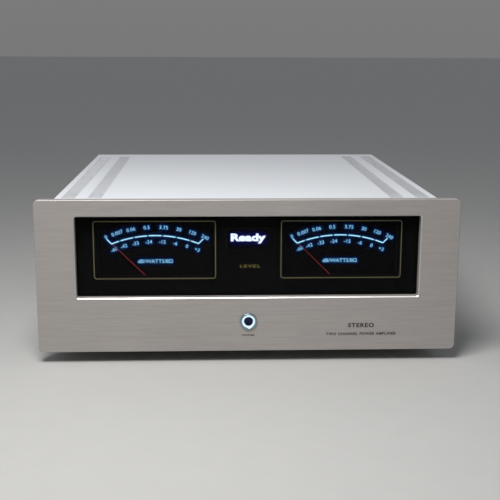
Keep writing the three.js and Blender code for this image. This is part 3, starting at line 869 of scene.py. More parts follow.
def scatter_tree():
    """Sets the incoming shape at each point of another object, each turned at random about its own axis."""
    tree, source = geometry_tree(
        "set_at_points", Geometry="Geometry", Places="Object", Axis="Vector", Seed="Int", Material="Material"
    )
    places = node(tree, "GeometryNodeObjectInfo", {"Object": source["Places"]}).outputs["Geometry"]
    turn = node(tree, "FunctionNodeRandomValue", {"Seed": source["Seed"]}, data_type="FLOAT")
    for socket in turn.inputs:
        if socket.name == "Max" and socket.type == "VALUE":
            socket.default_value = 2 * math.pi
    angle = [socket for socket in turn.outputs if socket.type == "VALUE"][0]
    spin = node(tree, "FunctionNodeAxisAngleToRotation", {"Axis": source["Axis"], "Angle": angle})
    values = {"Points": places, "Instance": source["Geometry"], "Rotation": spin.outputs[0]}
    copies = node(tree, "GeometryNodeInstanceOnPoints", values)
    return painted(tree, node(tree, "GeometryNodeRealizeInstances", {"Geometry": copies.outputs[0]}), source)


REPEAT = repeat_tree()
SCATTER = scatter_tree()


def grown(bm, tree, values, then=()):
    """Runs a node tree, and then other modifiers, on a mesh, and returns the plain mesh that results."""
    source = as_mesh("seed_shape", bm, merge=False)
    holder = linked("seed_shape", source)
    modifier = holder.modifiers.new("nodes", "NODES")
    modifier.node_group = tree
    sockets = {item.name: item.identifier for item in tree.interface.items_tree if item.in_out == "INPUT"}
    for label, value in values.items():
        modifier[sockets[label]] = value
    for kind, settings in then:
        extra = holder.modifiers.new(kind.lower(), kind)
        for key, value in settings.items():
            setattr(extra, key, value)
    result = result_of(holder)
    bpy.data.meshes.remove(source)
    return result


def repeated(bm, count, step, finish, weld=0.0, then=()):
    """Copies the shape in bm along a line, by the repeat tree."""
    return grown(bm, REPEAT, {"Count": count, "Step": step, "Weld": weld, "Material": LOOKS[finish]}, then)


def set_at(bm, points, axis, seed, finish):
    """Copies the shape in bm to each point, by the scatter tree."""
    marks = bpy.data.meshes.new("places")
    marks.from_pydata([tuple(point) for point in points], [], [])
    places = linked("places", marks)
    result = grown(bm, SCATTER, {"Places": places, "Axis": axis, "Seed": seed, "Material": LOOKS[finish]})
    bpy.data.objects.remove(places)
    bpy.data.meshes.remove(marks)
    return result


# ---------------------------------------------------------------- case

FLOOR_VENT = {"length": 0.034, "width": 0.008, "pitch": 0.028, "first": 0.050, "count": 13}
VENT_ROWS, FLOOR_VENT_ROWS = (0.1605, 0.188), (0.181,)
VENT = {"length": 0.0156, "width": 0.0040, "pitch": 0.008, "first": 0.040, "count": 51}


def stadium(x, y, length, width, steps=5):
    """Points of a slot with round ends, that lies across the case."""
    radius = width / 2
    points = []
    for side in (1, -1):
        for i in range(steps + 1):
            a = math.radians(-90 + 180 * i / steps)
            across = length / 2 - radius + radius * math.cos(a)
            points.append((x + side * across, y + side * radius * math.sin(a)))
    return points


def flat_sheet(bm, outer, holes):
    """One flat face with holes."""
    edges = []
    for loop in (outer, *holes):
        ring = [bm.verts.new((x, y, 0)) for x, y in loop]
        edges += [bm.edges.new((a, b)) for a, b in zip(ring, ring[1:] + ring[:1])]
    bmesh.ops.triangle_fill(bm, use_beauty=True, use_dissolve=False, edges=edges)


def heat_sink(name, side):
    """Base and fins. Each fin has a round tip and swells towards its root."""
    box = Span(f"heatsink_{name}")
    base_in, base_out, lap, edge = side * 0.148, side * 0.156, side * 0.0003, 0.0004
    count, half_root, half_tip, swell = 42, 0.0012, 0.0009, 0.0002
    pitch = (box.size.y - 2 * half_root) / (count - 1)
    reach = abs((box.high.x if side > 0 else box.low.x) - base_out) - half_tip
    outline = [(0, -half_root), (0.004, -half_root + swell), (reach, -half_tip)]
    for i in range(1, 6):
        a = math.radians(-90 + 30 * i)
        outline.append((reach + half_tip * math.cos(a), half_tip * math.sin(a)))
    outline += [(reach, half_tip), (0.004, half_root - swell), (0, half_root)]
    bm = bmesh.new()
    rings = []
    for z in (box.low.z, box.high.z):
        rings.append([bm.verts.new((base_out + side * x, box.low.y + half_root + y, z)) for x, y in outline])
        bm.faces.new(rings[-1])
    bridge(bm, *rings)
    bm = poured(bmesh.new(), repeated(bm, count, (0, pitch, 0), "sink"))
    x0, x1 = sorted((base_in, base_out + lap))
    block(bm, (x0, box.low.y, box.low.z), (x1, box.high.y, box.high.z), edge)
    piece(f"heatsink_{name}_fins", bm, "sink", stands_for=[f"heatsink_{name}"], angle=50)


def foot(name):
    """Turned aluminium foot with two grooves, standing on a rubber ring."""
    box = Span(name)
    centre = (box.middle.x, box.middle.y, 0)
    radius, top = box.size.x / 2, box.high.z
    profile = [(0, 0.0016), (radius - 0.0050, 0.0016), (radius - 0.0036, 0.0008), (radius - 0.0012, 0.0030),
               (radius, 0.0052)]
    for groove in (0.0085, 0.0120):
        profile += [(radius, groove - 0.0005), (radius - 0.0006, groove), (radius, groove + 0.0005)]
    profile += [(radius, top - 0.001), (radius - 0.001, top), (0, top)]
    bm = bmesh.new()
    turned(bm, soften(profile, 0.0004), centre, 72, upright_axis=True)
    piece(f"{name}_turned", bm, "foot", stands_for=[name])
    inner, outer = 0.008, radius - 0.0053
    ring = [(inner, 0.0015), (inner, 0.0003), (inner + 0.0005, 0), (outer - 0.0005, 0), (outer, 0.0003),
            (outer, 0.0015)]
    bm = bmesh.new()
    turned(bm, ring, centre, 64, closed=True, upright_axis=True)
    piece(f"{name}_rubber", bm, "rubber")


def screw(radius, height):
    """Pan-head screw with a cross recess. Its head stands on the origin and points along +Y."""
    bm = bmesh.new()
    head = shaped(ringed(0, 0, 24, radius))
    arm, half = radius * 0.60, radius * 0.16
    cross = [(arm, -half), (arm, half), (half, half), (half, arm), (-half, arm), (-half, half), (-arm, half),
             (-arm, -half), (-half, -half), (-half, -arm), (half, -arm), (half, -half)]
    plate(bm, head, [shaped(cross)], height * 0.35, height, height * 0.3, steps=2)
    plate(bm, head, [], 0.0, height * 0.36, height * 0.05, steps=1)
    return bm


def rear_screws():
    """Two rows of five, near the panel's upper and lower edges."""
    heights = (REAR.low.z + 0.006, REAR.high.z - 0.006)
    points = [(0.098 * i, REAR.high.y, z) for z in heights for i in range(-2, 3)]
    screws_on("rear_panel_screws", 0.0029, 0.0018, points, 4)


# ---------------------------------------------------------------- rear


def rear_panel():
    """Plate with a hole for each connector, and a flange at each side."""
    thickness = 0.003
    holes = []
    for _, side in SIDES:
        holes += [disc(side * PHONO.x, PHONO.z, 0.0046), disc(side * XLR.x, XLR.z, 0.0122)]
        holes += [disc(side * post.x, post.z, 0.0056) for post in POSTS]
    inlet = Span("mains_inlet").middle
    holes.append(rounded(-0.0143, 0.0143, inlet.z - 0.0188, inlet.z + 0.0188, 0.001))
    bm = bmesh.new()
    plate(bm, REAR.face(0.001, 3), holes, REAR.high.y - thickness, REAR.high.y, 0.0003)
    for _, side in SIDES:
        x0, x1 = sorted((side * REAR.high.x, side * (REAR.high.x - thickness)))
        block(bm, (x0, REAR.low.y, REAR.low.z), (x1, REAR.high.y - 0.0031, REAR.high.z), 0.0003)
    piece("rear_panel_plate", bm, "rear", stands_for=["rear_panel"])


# ---------------------------------------------------------------- rear connectors
# Depths here are millimetres behind the rear panel's outer face, and other sizes are from each connector's axis.

def behind(depth):
    return REAR.high.y + depth * MM


def turned_part(bm, points, x, z, sides=48, closed=False, radius=0.2):
    """A profile of (radius, depth) in millimetres, turned about an axis through x and z."""
    line = [(r * MM, depth * MM) for r, depth in points]
    turned(bm, line if closed else soften(line, radius * MM), (x, REAR.high.y, z), sides, closed=closed)


def in_metres(points):
    return [(x * MM, y * MM) for x, y in points]


def screws_on(name, radius, height, places, seed):
    """Plated screws that face the rear, each turned its own way."""
    mesh = set_at(screw(radius, height), places, (0, 1, 0), seed, "plated")
    placed(name, mesh, "plated")


def phono_socket(name, collar):
    """Gilt barrel with a nut, a coloured collar and a pale insulator round its contact."""
    node_name = f"phono_{name}_socket"
    x, z = Span(node_name).middle.x, Span(node_name).middle.z
    bore = disc(x, z, 4.15 * MM)
    barrel = [(3.4, 10.7), (3.7, 11), (4.0, 11), (4.15, 10.8), (4.15, 2.9), (4.15, 0), (4.15, -9), (2.9, -9),
              (2.9, 2.9), (3.4, 3.0)]
    bm = bmesh.new()
    turned_part(bm, barrel, x, z, closed=True)
    for depth in (-3.5, -5.1):
        nut = shaped(ringed(x, z, 6, 6.6 * MM, 30))
        plate(bm, nut, [bore], behind(depth - 1.4), behind(depth), 0.0002)
    plate(bm, shaped(ringed(x, z, 6, 6.1 * MM)), [bore], behind(1.9), behind(3.4), 0.0002)
    turned_part(bm, [(0, 9), (1.2, 9), (1.7, 8.7), (1.7, -9), (1.5, -16), (0, -16)], x, z, 24)
    piece(f"phono_{name}_barrel", bm, "gold", stands_for=[node_name])
    insulator = [(1.75, 9.4), (3.35, 9.4), (3.35, 3.2), (1.75, 3.2)]
    washer = [(4.3, 0.3), (7.0, 0.3), (7.0, 1.5), (6.7, 1.8), (4.3, 1.8)]
    for part, profile, finish in (("insulator", insulator, "white_plastic"), ("collar", washer, collar)):
        bm = bmesh.new()
        turned_part(bm, profile, x, z, closed=True)
        piece(f"phono_{name}_{part}", bm, finish)


def socket_flange():
    """Outline of the balanced socket's flange, in millimetres, with a notch at the top for the latch."""
    half_width, half_height, corner, notch, notch_floor = 13, 15.5, 3, 4.4, 12.1
    points = []
    for cx, cy, start in ((1, -1, -90), (1, 1, 0), (-1, 1, 90), (-1, -1, 180)):
        for i in range(6):
            angle = math.radians(start + 18 * i)
            points.append((cx * (half_width - corner) + corner * math.cos(angle),
                           cy * (half_height - corner) + corner * math.sin(angle)))
        if start == 0:
            points += [(notch, half_height), (notch, notch_floor)]
            points += [(-notch, notch_floor), (-notch, half_height)]
    return points


def balanced_socket(name):
    """Three-pin socket in a flange with two screws, and the latch that frees its plug."""
    node_name = f"xlr_{name}_socket"
    x, z = Span(node_name).middle.x, Span(f"phono_{name}_socket").middle.z - 2 * MM
    screw_places = [(side * 10 * MM, -side * 12.2 * MM) for side in (1, -1)]
    holes = [disc(0, 0, 9.6 * MM)] + [disc(px, pz, 1.6 * MM, 24) for px, pz in screw_places]
    bm = bmesh.new()
    flange = moved(shaped(in_metres(socket_flange())), x, z)
    plate(bm, flange, [moved(hole, x, z) for hole in holes], behind(0.3), behind(2.4), 0.0003)
    pins = ringed(x, z, 3, 3.7 * MM, 30)
    pin_holes = [disc(*pin, 1.45 * MM, 20) for pin in pins]
    plate(bm, disc(x, z, 7.5 * MM), pin_holes, behind(-11.9), behind(2.3), 0.0004)
    turned_part(bm, [(9.6, 0.4), (9.6, -12), (0, -12), (0, -26), (11, -26), (11.8, -25.2), (11.8, 0.4)], x, z)
    piece(f"xlr_{name}_body", bm, "black_plastic", stands_for=[node_name])
    bm = bmesh.new()
    for pin in pins:
        turned_part(bm, [(0.75, 1.2), (1.35, 1.6), (1.35, -9), (0.75, -9)], *pin, 16, closed=True)
        turned_part(bm, [(0, -26), (1.0, -26), (1.0, -29.5), (0, -29.5)], *pin, 12)
    piece(f"xlr_{name}_contacts", bm, "gold")
    places = [(x + px, behind(2.35), z + pz) for px, pz in screw_places]
    screws_on(f"xlr_{name}_screws", 2.5 * MM, 1.1 * MM, places, 7)
    box = Span(f"xlr_{name}_latch")
    rib, inset = 0.0002, 0.001
    bm = bmesh.new()
    block(bm, box.low, box.high, 0.0004)
    for step in (-0.9, 0, 0.9):
        ridge = box.middle.z + step * MM
        block(bm, (box.low.x + inset, box.high.y - rib, ridge - rib),
              (box.high.x - inset, box.high.y + rib, ridge + rib), 0.0001)
    piece(f"xlr_{name}_tab", bm, "steel", f"{name}_latch", [f"xlr_{name}_latch"])


def fluted(i):
    """Radius of a point on a gripping sleeve: eight points to a flute, three of them in its hollow."""
    return (9.0 - 0.85 * max(0.0, math.sin(2 * math.pi * i / 8)) ** 0.7) * MM


def loudspeaker_terminal(label, colour):
    """Gilt stud with a hole for the wire, a coloured base, and a fluted cap that screws down on the wire."""
    post, cap, body = f"terminal_{label}_post", f"terminal_{label}_cap", f"{label}_cap"
    x, z = Span(post).middle.x, Span(post).middle.z
    stud = [(0, -26), (2.5, -26), (2.5, -12), (9, -12), (9, -3.3), (5.2, -3.3), (5.2, 5), (3.8, 5.6),
            (3.8, 31), (2.1, 31), (2.1, 12), (0, 12)]
    base = [(5.3, 0.3), (9.6, 0.3), (9.6, 3.6), (9.2, 4.0), (8.8, 5.0), (5.3, 5.0)]
    lip = [(2.4, 31.6), (7.8, 31.6), (7.8, 33.4), (7.2, 34), (3.2, 34), (2.4, 33.4)]
    washer = [(3.95, 10.3), (7.6, 10.3), (8.0, 10.7), (8.0, 11.45), (3.95, 11.45)]
    bm, drill = bmesh.new(), bmesh.new()
    turned_part(bm, stud, x, z)
    wire_hole = [(0, -0.006), (1.8 * MM, -0.006), (1.8 * MM, 0.006), (0, 0.006)]
    turned(drill, wire_hole, (x, behind(8.4), z), 24, upright_axis=True)
    placed(f"terminal_{label}_stud", bored(bm, drill), "gold", stands_for=[post])
    bm = bmesh.new()
    turned_part(bm, base, x, z, closed=True)
    piece(f"terminal_{label}_base", bm, colour)
    bm = bmesh.new()
    sleeve = moved(shaped(ringed(0, 0, 96, fluted)), x, z)
    plate(bm, sleeve, [disc(x, z, 4.2 * MM)], behind(11.5), behind(32.2), 0.0005)
    piece(f"terminal_{label}_sleeve", bm, colour, body, [cap])
    bm = bmesh.new()
    for ring in (lip, washer):
        turned_part(bm, ring, x, z, closed=True)
    piece(f"terminal_{label}_gilt_rings", bm, "gold", body)


def bored(bm, cutter):
    """The mesh of bm with the cutter's shape taken out of it."""
    shape, tool = (linked("bored_shape", as_mesh("bored_shape", source)) for source in (bm, cutter))
    drill = shape.modifiers.new("drill", "BOOLEAN")
    drill.object = tool
    drill.operation = "DIFFERENCE"
    drill.solver = "EXACT"
    result = result_of(shape)
    bpy.data.objects.remove(tool)
    return result


def mains_inlet():
    """Three-pin inlet in a flange with two screws, over the slot for the fuse drawer."""
    z = Span("fuse_drawer").low.z + 13.9 * MM
    cavity_points = in_metres(
        [(-12.2, 1.2), (12.2, 1.2), (12.2, 12.5), (8.0, 17.6), (-8.0, 17.6), (-12.2, 12.5)])
    cavity = moved(shaped(cavity_points), 0, z)
    drawer_slot = moved(rounded(-0.0113, 0.0113, -0.0142, -0.0032, 0.0004), 0, z)
    screw_holes = [disc(side * 0.020, z + 0.0015, 0.0017, 24) for side in (-1, 1)]
    middle = 0.0094
    rim = shaped([(px * 1.09, z + middle + (py - middle) * 1.11) for px, py in cavity_points])
    flange = moved(rounded(-0.025, 0.025, -0.020, 0.023, 0.006), 0, z)
    body = moved(rounded(-0.014, 0.014, -0.017, 0.020, 0.001), 0, z)
    bm = bmesh.new()
    for outline, holes, near, far, edge in (
        (flange, [cavity, drawer_slot, *screw_holes], 0.3, 3.2, 0.0005),
        (rim, [cavity], 3.0, 4.4, 0.0004),
        (body, [cavity, drawer_slot], -13.5, 0.4, 0.0003),
        (body, [drawer_slot], -20, -13.4, 0.0003),
        (body, [], -30, -19.9, 0.0008),
    ):
        plate(bm, outline, holes, behind(near), behind(far), edge)
    piece("mains_inlet_body", bm, "black_plastic", stands_for=["mains_inlet"])
    bm = bmesh.new()
    for px, pz in in_metres([(-7, 8), (7, 8), (0, 12.2)]):
        low, high = z + pz - 0.002, z + pz + 0.002
        block(bm, (px - 0.001, behind(-14), low), (px + 0.001, behind(-1.5), high), 0.0005)
        tag_low, tag_high = low - 0.001, low + 0.005
        block(bm, (px - 0.0004, behind(-37), tag_low), (px + 0.0004, behind(-29.5), tag_high), 0.0002)
    piece("mains_inlet_pins", bm, "plated")
    places = [(side * 0.020, behind(3.15), z + 0.0015) for side in (-1, 1)]
    screws_on("mains_inlet_screws", 3.0 * MM, 1.3 * MM, places, 3)


def fuse_drawer():
    """Drawer with a grip along its lower edge and a raised fuse sign."""
    box = Span("fuse_drawer")
    z, face = box.low.z + 13.9 * MM, box.high.y
    sunk, proud = face - 0.0001, face + 0.0003
    grip = rounded(-0.004, 0.004, z - 0.0138, z - 0.0118, 0.0004)
    icon = rounded(-0.0034, 0.0034, z - 0.0086, z - 0.0066, 0.0003)
    core = rounded(-0.0030, 0.0030, z - 0.0082, z - 0.0070, 0.0002)
    bm = bmesh.new()
    plate(bm, box.face(0.0004), [grip], face - 0.002, face, 0.0004)
    plate(bm, box.face(0.0004), [], box.low.y, face - 0.0019, 0.0003)
    plate(bm, icon, [core], sunk, proud, 0.0001)
    block(bm, (-0.0052, sunk, z - 0.00775), (0.0052, proud, z - 0.00745), 0.0001)
    piece("fuse_drawer_tray", bm, "black_plastic", "fuse_drawer", ["fuse_drawer"])


def rear_lettering():
    """Plain words beside the connectors, read from behind."""
    posts_z = POSTS[0].z
    marks = [("BALANCED", 0.0, PHONO.z + 0.004, 0.0032), ("LINE", 0.0, PHONO.z - 0.004, 0.0032),
             ("AC INLET", 0.0, posts_z + 0.031, 0.0030)]
    for name, side in SIDES:
        letter = name[0].upper()
        marks += [(letter, side * (PHONO.x + XLR.x) / 2, PHONO.z + 0.019, 0.0052),
                  ("SPEAKER " + letter, side * (POSTS[0].x + POSTS[1].x) / 2, posts_z - 0.0215, 0.0032),
                  ("+", side * POSTS[1].x, posts_z + 0.0165, 0.0040),
                  ("-", side * POSTS[0].x, posts_z + 0.0165, 0.0012)]
    bm = bmesh.new()
    for text, x, z, height in marks:
        mesh = letters(text, height, 0.01, spacing=1.1)
        mesh.transform(Matrix.Rotation(math.pi, 4, "Z"))
        add_letters(bm, mesh, x, behind(0.04), z)
    piece("rear_marks", bm, "black_ink")


# ---------------------------------------------------------------- inside the case

CIRCUIT_EDGE = 0.0002
BOARD = 0.0016  # thickness of the circuit boards


def vented_sheet(name, stands_for, finish, rows, vent, wall=None):
    """One row of slots, repeated to the rear between two plain ends, and given its thickness. A second finish, if
    given, paints shade on the slots' inner walls.
    """
    box = Span(stands_for)
    x0, x1, top = box.low.x, box.high.x, box.high.z
    pitch, weld, clear = vent["pitch"], 1e-6, 0.0001
    first = FACE + vent["first"] - pitch / 2
    last = first + pitch * vent["count"]
    slots = [stadium(side * x, pitch / 2, vent["length"], vent["width"]) for x in rows for side in (-1, 1)]
    row = bmesh.new()
    flat_sheet(row, [(x0, 0), (x1, 0), (x1, pitch), (x0, pitch)], slots)
    sheet = repeated(row, vent["count"], (0, pitch, 0), finish, weld)
    sheet.transform(Matrix.Translation((0, first, top)))
    bm = poured(bmesh.new(), sheet)
    for near, far in ((box.low.y, first), (last, box.high.y)):
        bm.faces.new([bm.verts.new((x, y, top)) for x, y in ((x0, near), (x1, near), (x1, far), (x0, far))])
    bmesh.ops.remove_doubles(bm, verts=bm.verts, dist=weld)
    bmesh.ops.recalc_face_normals(bm, faces=bm.faces)
    if bm.faces[0].normal.z < 0:
        bmesh.ops.reverse_faces(bm, faces=bm.faces)
    thick = ("SOLIDIFY", {"thickness": box.size.z, "offset": -1})
    edge = ("BEVEL", {"width": 0.00015, "segments": 1, "limit_method": "ANGLE"})
    mesh = repeated(bm, 1, (0, 0, 0), finish, then=(thick, edge))
    placed(name, mesh, finish, stands_for=[stands_for])
    if not wall:
        return
    # The slots' inner walls take the second finish: painted shade, darker than the cover's own silver.
    mesh.materials.append(LOOKS[wall])
    for face in mesh.polygons:
        place = face.center
        inside = abs(place.x) < x1 - 0.004 and first < place.y < last
        if inside and top - box.size.z + clear < place.z < top - clear:
            face.material_index = 1


def under_screws():
    """Screws through the bottom plate, in two rows near its ends and one along each heat sink."""
    box = Span("bottom_plate")
    xs = [box.high.x * share for share in (-0.965, -0.5, 0, 0.5, 0.965)]
    places = [(x, y, box.low.z) for y in (box.low.y + 0.008, box.high.y - 0.008) for x in xs]
    places += [(side * 0.152, FACE + depth, box.low.z) for side in (-1, 1) for depth in (0.13, 0.24, 0.35)]
    bm = screw(0.0029, 0.0017)
    bmesh.ops.rotate(bm, verts=bm.verts, matrix=Matrix.Rotation(math.radians(-90), 3, "X"))
    placed("bottom_plate_screws", set_at(bm, places, (0, 0, 1), 11, "plated"), "plated")


def front_subframe():
    """Inner plate with the window's seat and the switch's hole, and a flange at each side."""
    box = Span("front_subframe")
    clear, thickness = 0.0003, 0.003
    bm = bmesh.new()
    holes = [GLASS.face(0.001, 3, clear), disc(BUTTON.x, BUTTON.z, 0.0084)]
    plate(bm, box.face(0.001, 3), holes, box.low.y, box.low.y + thickness, 0.0002)
    for _, side in SIDES:
        x0, x1 = sorted((side * box.high.x, side * (box.high.x - thickness)))
        block(bm, (x0, box.low.y + 0.0029, box.low.z), (x1, box.high.y, box.high.z), 0.0002)
    piece("front_subframe_plate", bm, "dark_frame", stands_for=["front_subframe"])


def upright_stack(bm, points, centre, sides=64, closed=False, radius=0.0004):
    """A profile of (radius, height) in millimetres over the bottom plate, turned about an upright axis."""
    line = [(r * MM, z * MM) for r, z in points]
    turned(bm, line if closed else soften(line, radius), centre, sides, closed=closed, upright_axis=True)


def transformer():
    """Toroid: a lapped tape winding between a rubber pad and a dished plate, held by one bolt."""
    pad = Span("transformer_pad")
    centre = Vector((pad.middle.x, pad.middle.y, pad.low.z))
    bm = bmesh.new()
    upright_stack(bm, [(8, 0), (63.6, 0), (64, 0.4), (64, 2.6), (63.6, 3), (8, 3)], centre, closed=True)
    piece("transformer_pad_ring", bm, "rubber", stands_for=["transformer_pad"])
    section = [(20, 12), (21, 8.6), (24, 6), (28, 4.2), (32, 3.5), (48, 3.3), (66, 3.5), (70, 4.4), (73, 6), (75.6, 9),
               (77, 13), (77, 34), (77, 56), (75.6, 60), (73, 63), (70, 64.8), (66, 65.8), (48, 66), (32, 65.8),
               (28, 65), (24, 63), (21, 60.4), (20, 57), (20, 34)]
    laps, steps = 58, 5
    rings = []
    bm = bmesh.new()
    for i in range(laps * steps):
        angle = 2 * math.pi * i / (laps * steps)
        lift = 0.35 * (i % steps) / (steps - 1)
        ring = []
        for radius, height in section:
            out = Vector((radius - 48.5, height - 34.5)).normalized() * (lift - 0.35)
            reach = (radius + out.x) * MM
            ring.append(bm.verts.new(centre + Vector(
                (reach * math.cos(angle), reach * math.sin(angle), (height + out.y) * MM))))
        rings.append(ring)
    for first, second in zip(rings, rings[1:] + rings[:1]):
        bridge(bm, first, second)
    piece("transformer_taped_ring", bm, "tape", stands_for=["transformer_winding"], angle=35)
    bm = bmesh.new()
    dish = [(5.5, 62), (18, 62), (26, 66.3), (55.6, 66.3), (56, 66.7), (56, 68.1), (55.6, 68.5), (25, 68.5),
            (17, 64.5), (5.5, 64.5)]
    upright_stack(bm, dish, centre, closed=True)
    piece("transformer_dished_plate", bm, "plated", stands_for=["transformer_plate"])
    bm = bmesh.new()
    threads = [(5 - 0.35 * (i % 2), 72.6 + 0.4 * i) for i in range(8)]
    upright_stack(bm, [(0, 0), (5, 0), (5, 64), *threads, (4.4, 76), (0, 76)], centre, 32, radius=0.00005)
    nut = shaped(ringed(centre.x, centre.y, 6, 0.0095))
    plate(bm, nut, [], centre.z + 0.0662, centre.z + 0.0725, 0.0006, place=level)
    washer = disc(centre.x, centre.y, 0.0115)
    plate(bm, washer, [], centre.z + 0.0648, centre.z + 0.0663, 0.0003, place=level)
    piece("transformer_stud_and_nut", bm, "plated", stands_for=["transformer_bolt"])
    bm = bmesh.new()
    for number in range(4):
        start = centre + Vector(((-12 + 8 * number) * MM, 74 * MM, 50 * MM))
        route = [start, start + Vector((0, 0.008, 0.006)), start + Vector((0, 0.014, 0.000)),
                 start + Vector((0, 0.0155, -0.020)), start + Vector((0, 0.0155, -0.034))]
        tube(bm, smooth_route(route, 5), 0.0013, 8)
    piece("transformer_leads", bm, "red_plastic")


def reservoir():
    """Four large capacitors on their board, and the board's pillars and screws."""
    board = Span("capacitor_board")
    top = Span("reservoir_capacitor_1").low.z - 0.0003
    places = [(side * 0.110, board.middle.y + end * 0.038) for side, end in CORNERS]
    outer = rounded(board.low.x, board.high.x, board.low.y, board.high.y, 0.003)
    holes = [disc(x, y, 0.0016, 20) for x, y in places]
    bm = bmesh.new()
    plate(bm, outer, holes, top - BOARD, top, CIRCUIT_EDGE, place=level)
    piece("capacitor_board_plate", bm, "board", stands_for=["capacitor_board"])
    bm = bmesh.new()
    for x, y in places:
        upright_stack(bm, [(0, 0), (4, 0), (4, 12), (0, 12)], (x, y, board.low.z), 24)
        screw_head = [(0, 13.6), (2.8, 13.6), (2.8, 14.6), (1.6, 15.6), (0, 15.6)]
        upright_stack(bm, screw_head, (x, y, board.low.z), 24)
    piece("capacitor_board_pillars", bm, "plated")
    for number in range(1, 5):
        reservoir_capacitor(number)


def reservoir_capacitor(number):
    """Sleeved can with a crimped rim, and a metal disc scored with three lines."""
    node_name = f"reservoir_capacitor_{number}"
    box = Span(node_name)
    centre = Vector((box.middle.x, box.middle.y, box.low.z))
    can = [(0, 0), (24.5, 0), (25.5, 1.5), (25.5, 77.5), (24.9, 78.3), (25.5, 79.1), (25.5, 81.4),
           (24.2, 82.8), (22.6, 82.6), (22, 81.6), (0, 81.6)]
    bm = bmesh.new()
    upright_stack(bm, can, centre, 72, radius=0.0005)
    piece(f"capacitor_{number}_sleeve", bm, "dark_can", stands_for=[node_name])
    bm = bmesh.new()
    vent_disc = [(0, 81.4), (21.6, 81.4), (21.6, 82.2), (21.2, 82.4), (0, 82.4)]
    upright_stack(bm, vent_disc, centre, 64, radius=0.0002)
    for turn in (0, 60, 120):
        a = math.radians(turn)
        reach = Vector((math.cos(a), math.sin(a), 0)) * 0.017
        top = centre + Vector((0, 0, 0.0824))
        tube(bm, [top - reach, top + reach], 0.0004, 6)
    piece(f"capacitor_{number}_vent_disc", bm, "plated")


def box_on(bm, x0, x1, y0, y1, z0, z1, edge=0.0005):
    """A rounded block, sized in millimetres from the middle, the front face and the floor."""
    x0, x1 = sorted((x0, x1))
    block(bm, (x0 * MM, FACE + y0 * MM, z0 * MM), (x1 * MM, FACE + y1 * MM, z1 * MM), edge)


def resistor_row(name, x, y, z, count, step):
    """Small resistors, thicker at both ends, repeated along the board."""
    body = [(0, -3.2), (1.2, -3.2), (1.3, -2.2), (1.0, -1.2), (1.0, 1.2), (1.3, 2.2), (1.2, 3.2), (0, 3.2)]
    bm = bmesh.new()
    turned(bm, soften(in_metres(body), 0.0003), (0, 0, 0), 16)
    mesh = repeated(bm, count, step, "ceramic")
    mesh.transform(Matrix.Translation((x * MM, FACE + y * MM, z * MM)))
    placed(name, mesh, "ceramic")


def standing_cans(bm, side, depth, length, low, high):
    """Small capacitors that stand out from an upright board, evenly along a length of it. In millimetres."""
    board_face, tall, radius = 126.4, 9.0, (high - low) / 2
    profile = in_metres([(0, 0), (radius - 0.6, 0), (radius - 0.6, tall), (0, tall + 0.2)])
    turn = Matrix.Rotation(math.radians(90 * side), 4, "Z")
    gaps = int(length // (2 * radius))
    for k in range(gaps + 1):
        y = depth + radius + k * (length - 2 * radius) / gaps
        shift = Matrix.Translation((side * board_face * MM, FACE + y * MM, (low + radius) * MM))
        can = bmesh.new()
        turned(can, soften(profile, 0.0005), (0, 0, 0), 40)
        bmesh.ops.transform(can, matrix=shift @ turn, verts=can.verts)
        poured(bm, as_mesh("can", can, merge=False))


def amplifier_board(name, side):
    """Upright board, its output transistors clamped to the heat sink, and its larger parts."""
    bm = bmesh.new()
    box_on(bm, side * 126, side * (126 + BOARD / MM), 50, 400, 46, 138, CIRCUIT_EDGE)
    piece(f"amplifier_{name}_board", bm, "board", stands_for=[f"amplifier_board_{name}"])
    count, first, step = 6, 82, 57
    cases = [(142.6, 147.6, -7.9, 7.9, 74, 94)]
    tabs = [(146.6, 147.7, -7.0, 7.0, 72.5, 95), (141.4, 142.7, -4.0, 4.0, 84, 89)]
    legs = [(126.4, 145, y - 0.5, y + 0.5, 71.5, 72.5) for y in (-5, 0, 5)]
    legs += [(144.0, 145, y - 0.5, y + 0.5, 71.5, 74.4) for y in (-5, 0, 5)]
    for suffix, finish, slot, boxes in (
        ("cases", "black_plastic", "black_plastic", cases),
        ("tabs", "plated", "plated_steel", tabs),
        ("legs", "plated", "plated_steel", legs),
    ):
        bm = bmesh.new()
        for x0, x1, y0, y1, z0, z1 in boxes:
            box_on(bm, side * x0, side * x1, first + y0, first + y1, z0, z1, 0.0003)
        mesh = repeated(bm, count, (0, step * MM, 0), finish)
        placed(f"amplifier_{name}_transistor_{suffix}", mesh, finish)
    for number, row in enumerate(((105, 45, 100, 124), (300, 45, 100, 124), (190, 70, 104, 118)), start=1):
        bm = bmesh.new()
        standing_cans(bm, side, *row)
        piece(f"amplifier_{name}_cans_{number}", bm, "dark_can")
    for label, z in (("low", 58), ("high", 130)):
        resistor_row(f"amplifier_{name}_resistors_{label}", side * 124.6, 66, z, 30, (0, 0.011, 0))


def rectifier(name):
    """Square bridge rectifier with four tabs, bolted to the bottom plate."""
    box = Span(f"rectifier_{name}")
    x, y, z = box.middle.x, box.middle.y, box.low.z
    half, height, tab = 0.0145, 0.011, Vector((0.0004, 0.003, 0.0041))
    square = [(-half, -half), (half, -half), (half, half * 0.7), (half * 0.7, half), (-half, half)]
    outer = moved(shaped(square), x, y)
    bm = bmesh.new()
    plate(bm, outer, [disc(x, y, 0.0026, 24)], z, z + height, 0.0008, place=level)
    piece(f"rectifier_{name}_case", bm, "black_plastic", stands_for=[f"rectifier_{name}"])
    bm = bmesh.new()
    for side, end in CORNERS:
        middle = Vector((x + side * 0.009, y + end * 0.009, z + 0.0149))
        block(bm, middle - tab, middle + tab, 0.00015)
    upright_stack(bm, [(0, 10.8), (4.6, 10.8), (4.6, 11.4), (3.8, 13.6), (0, 14.2)], (x, y, z), 32)
    piece(f"rectifier_{name}_tabs", bm, "plated")


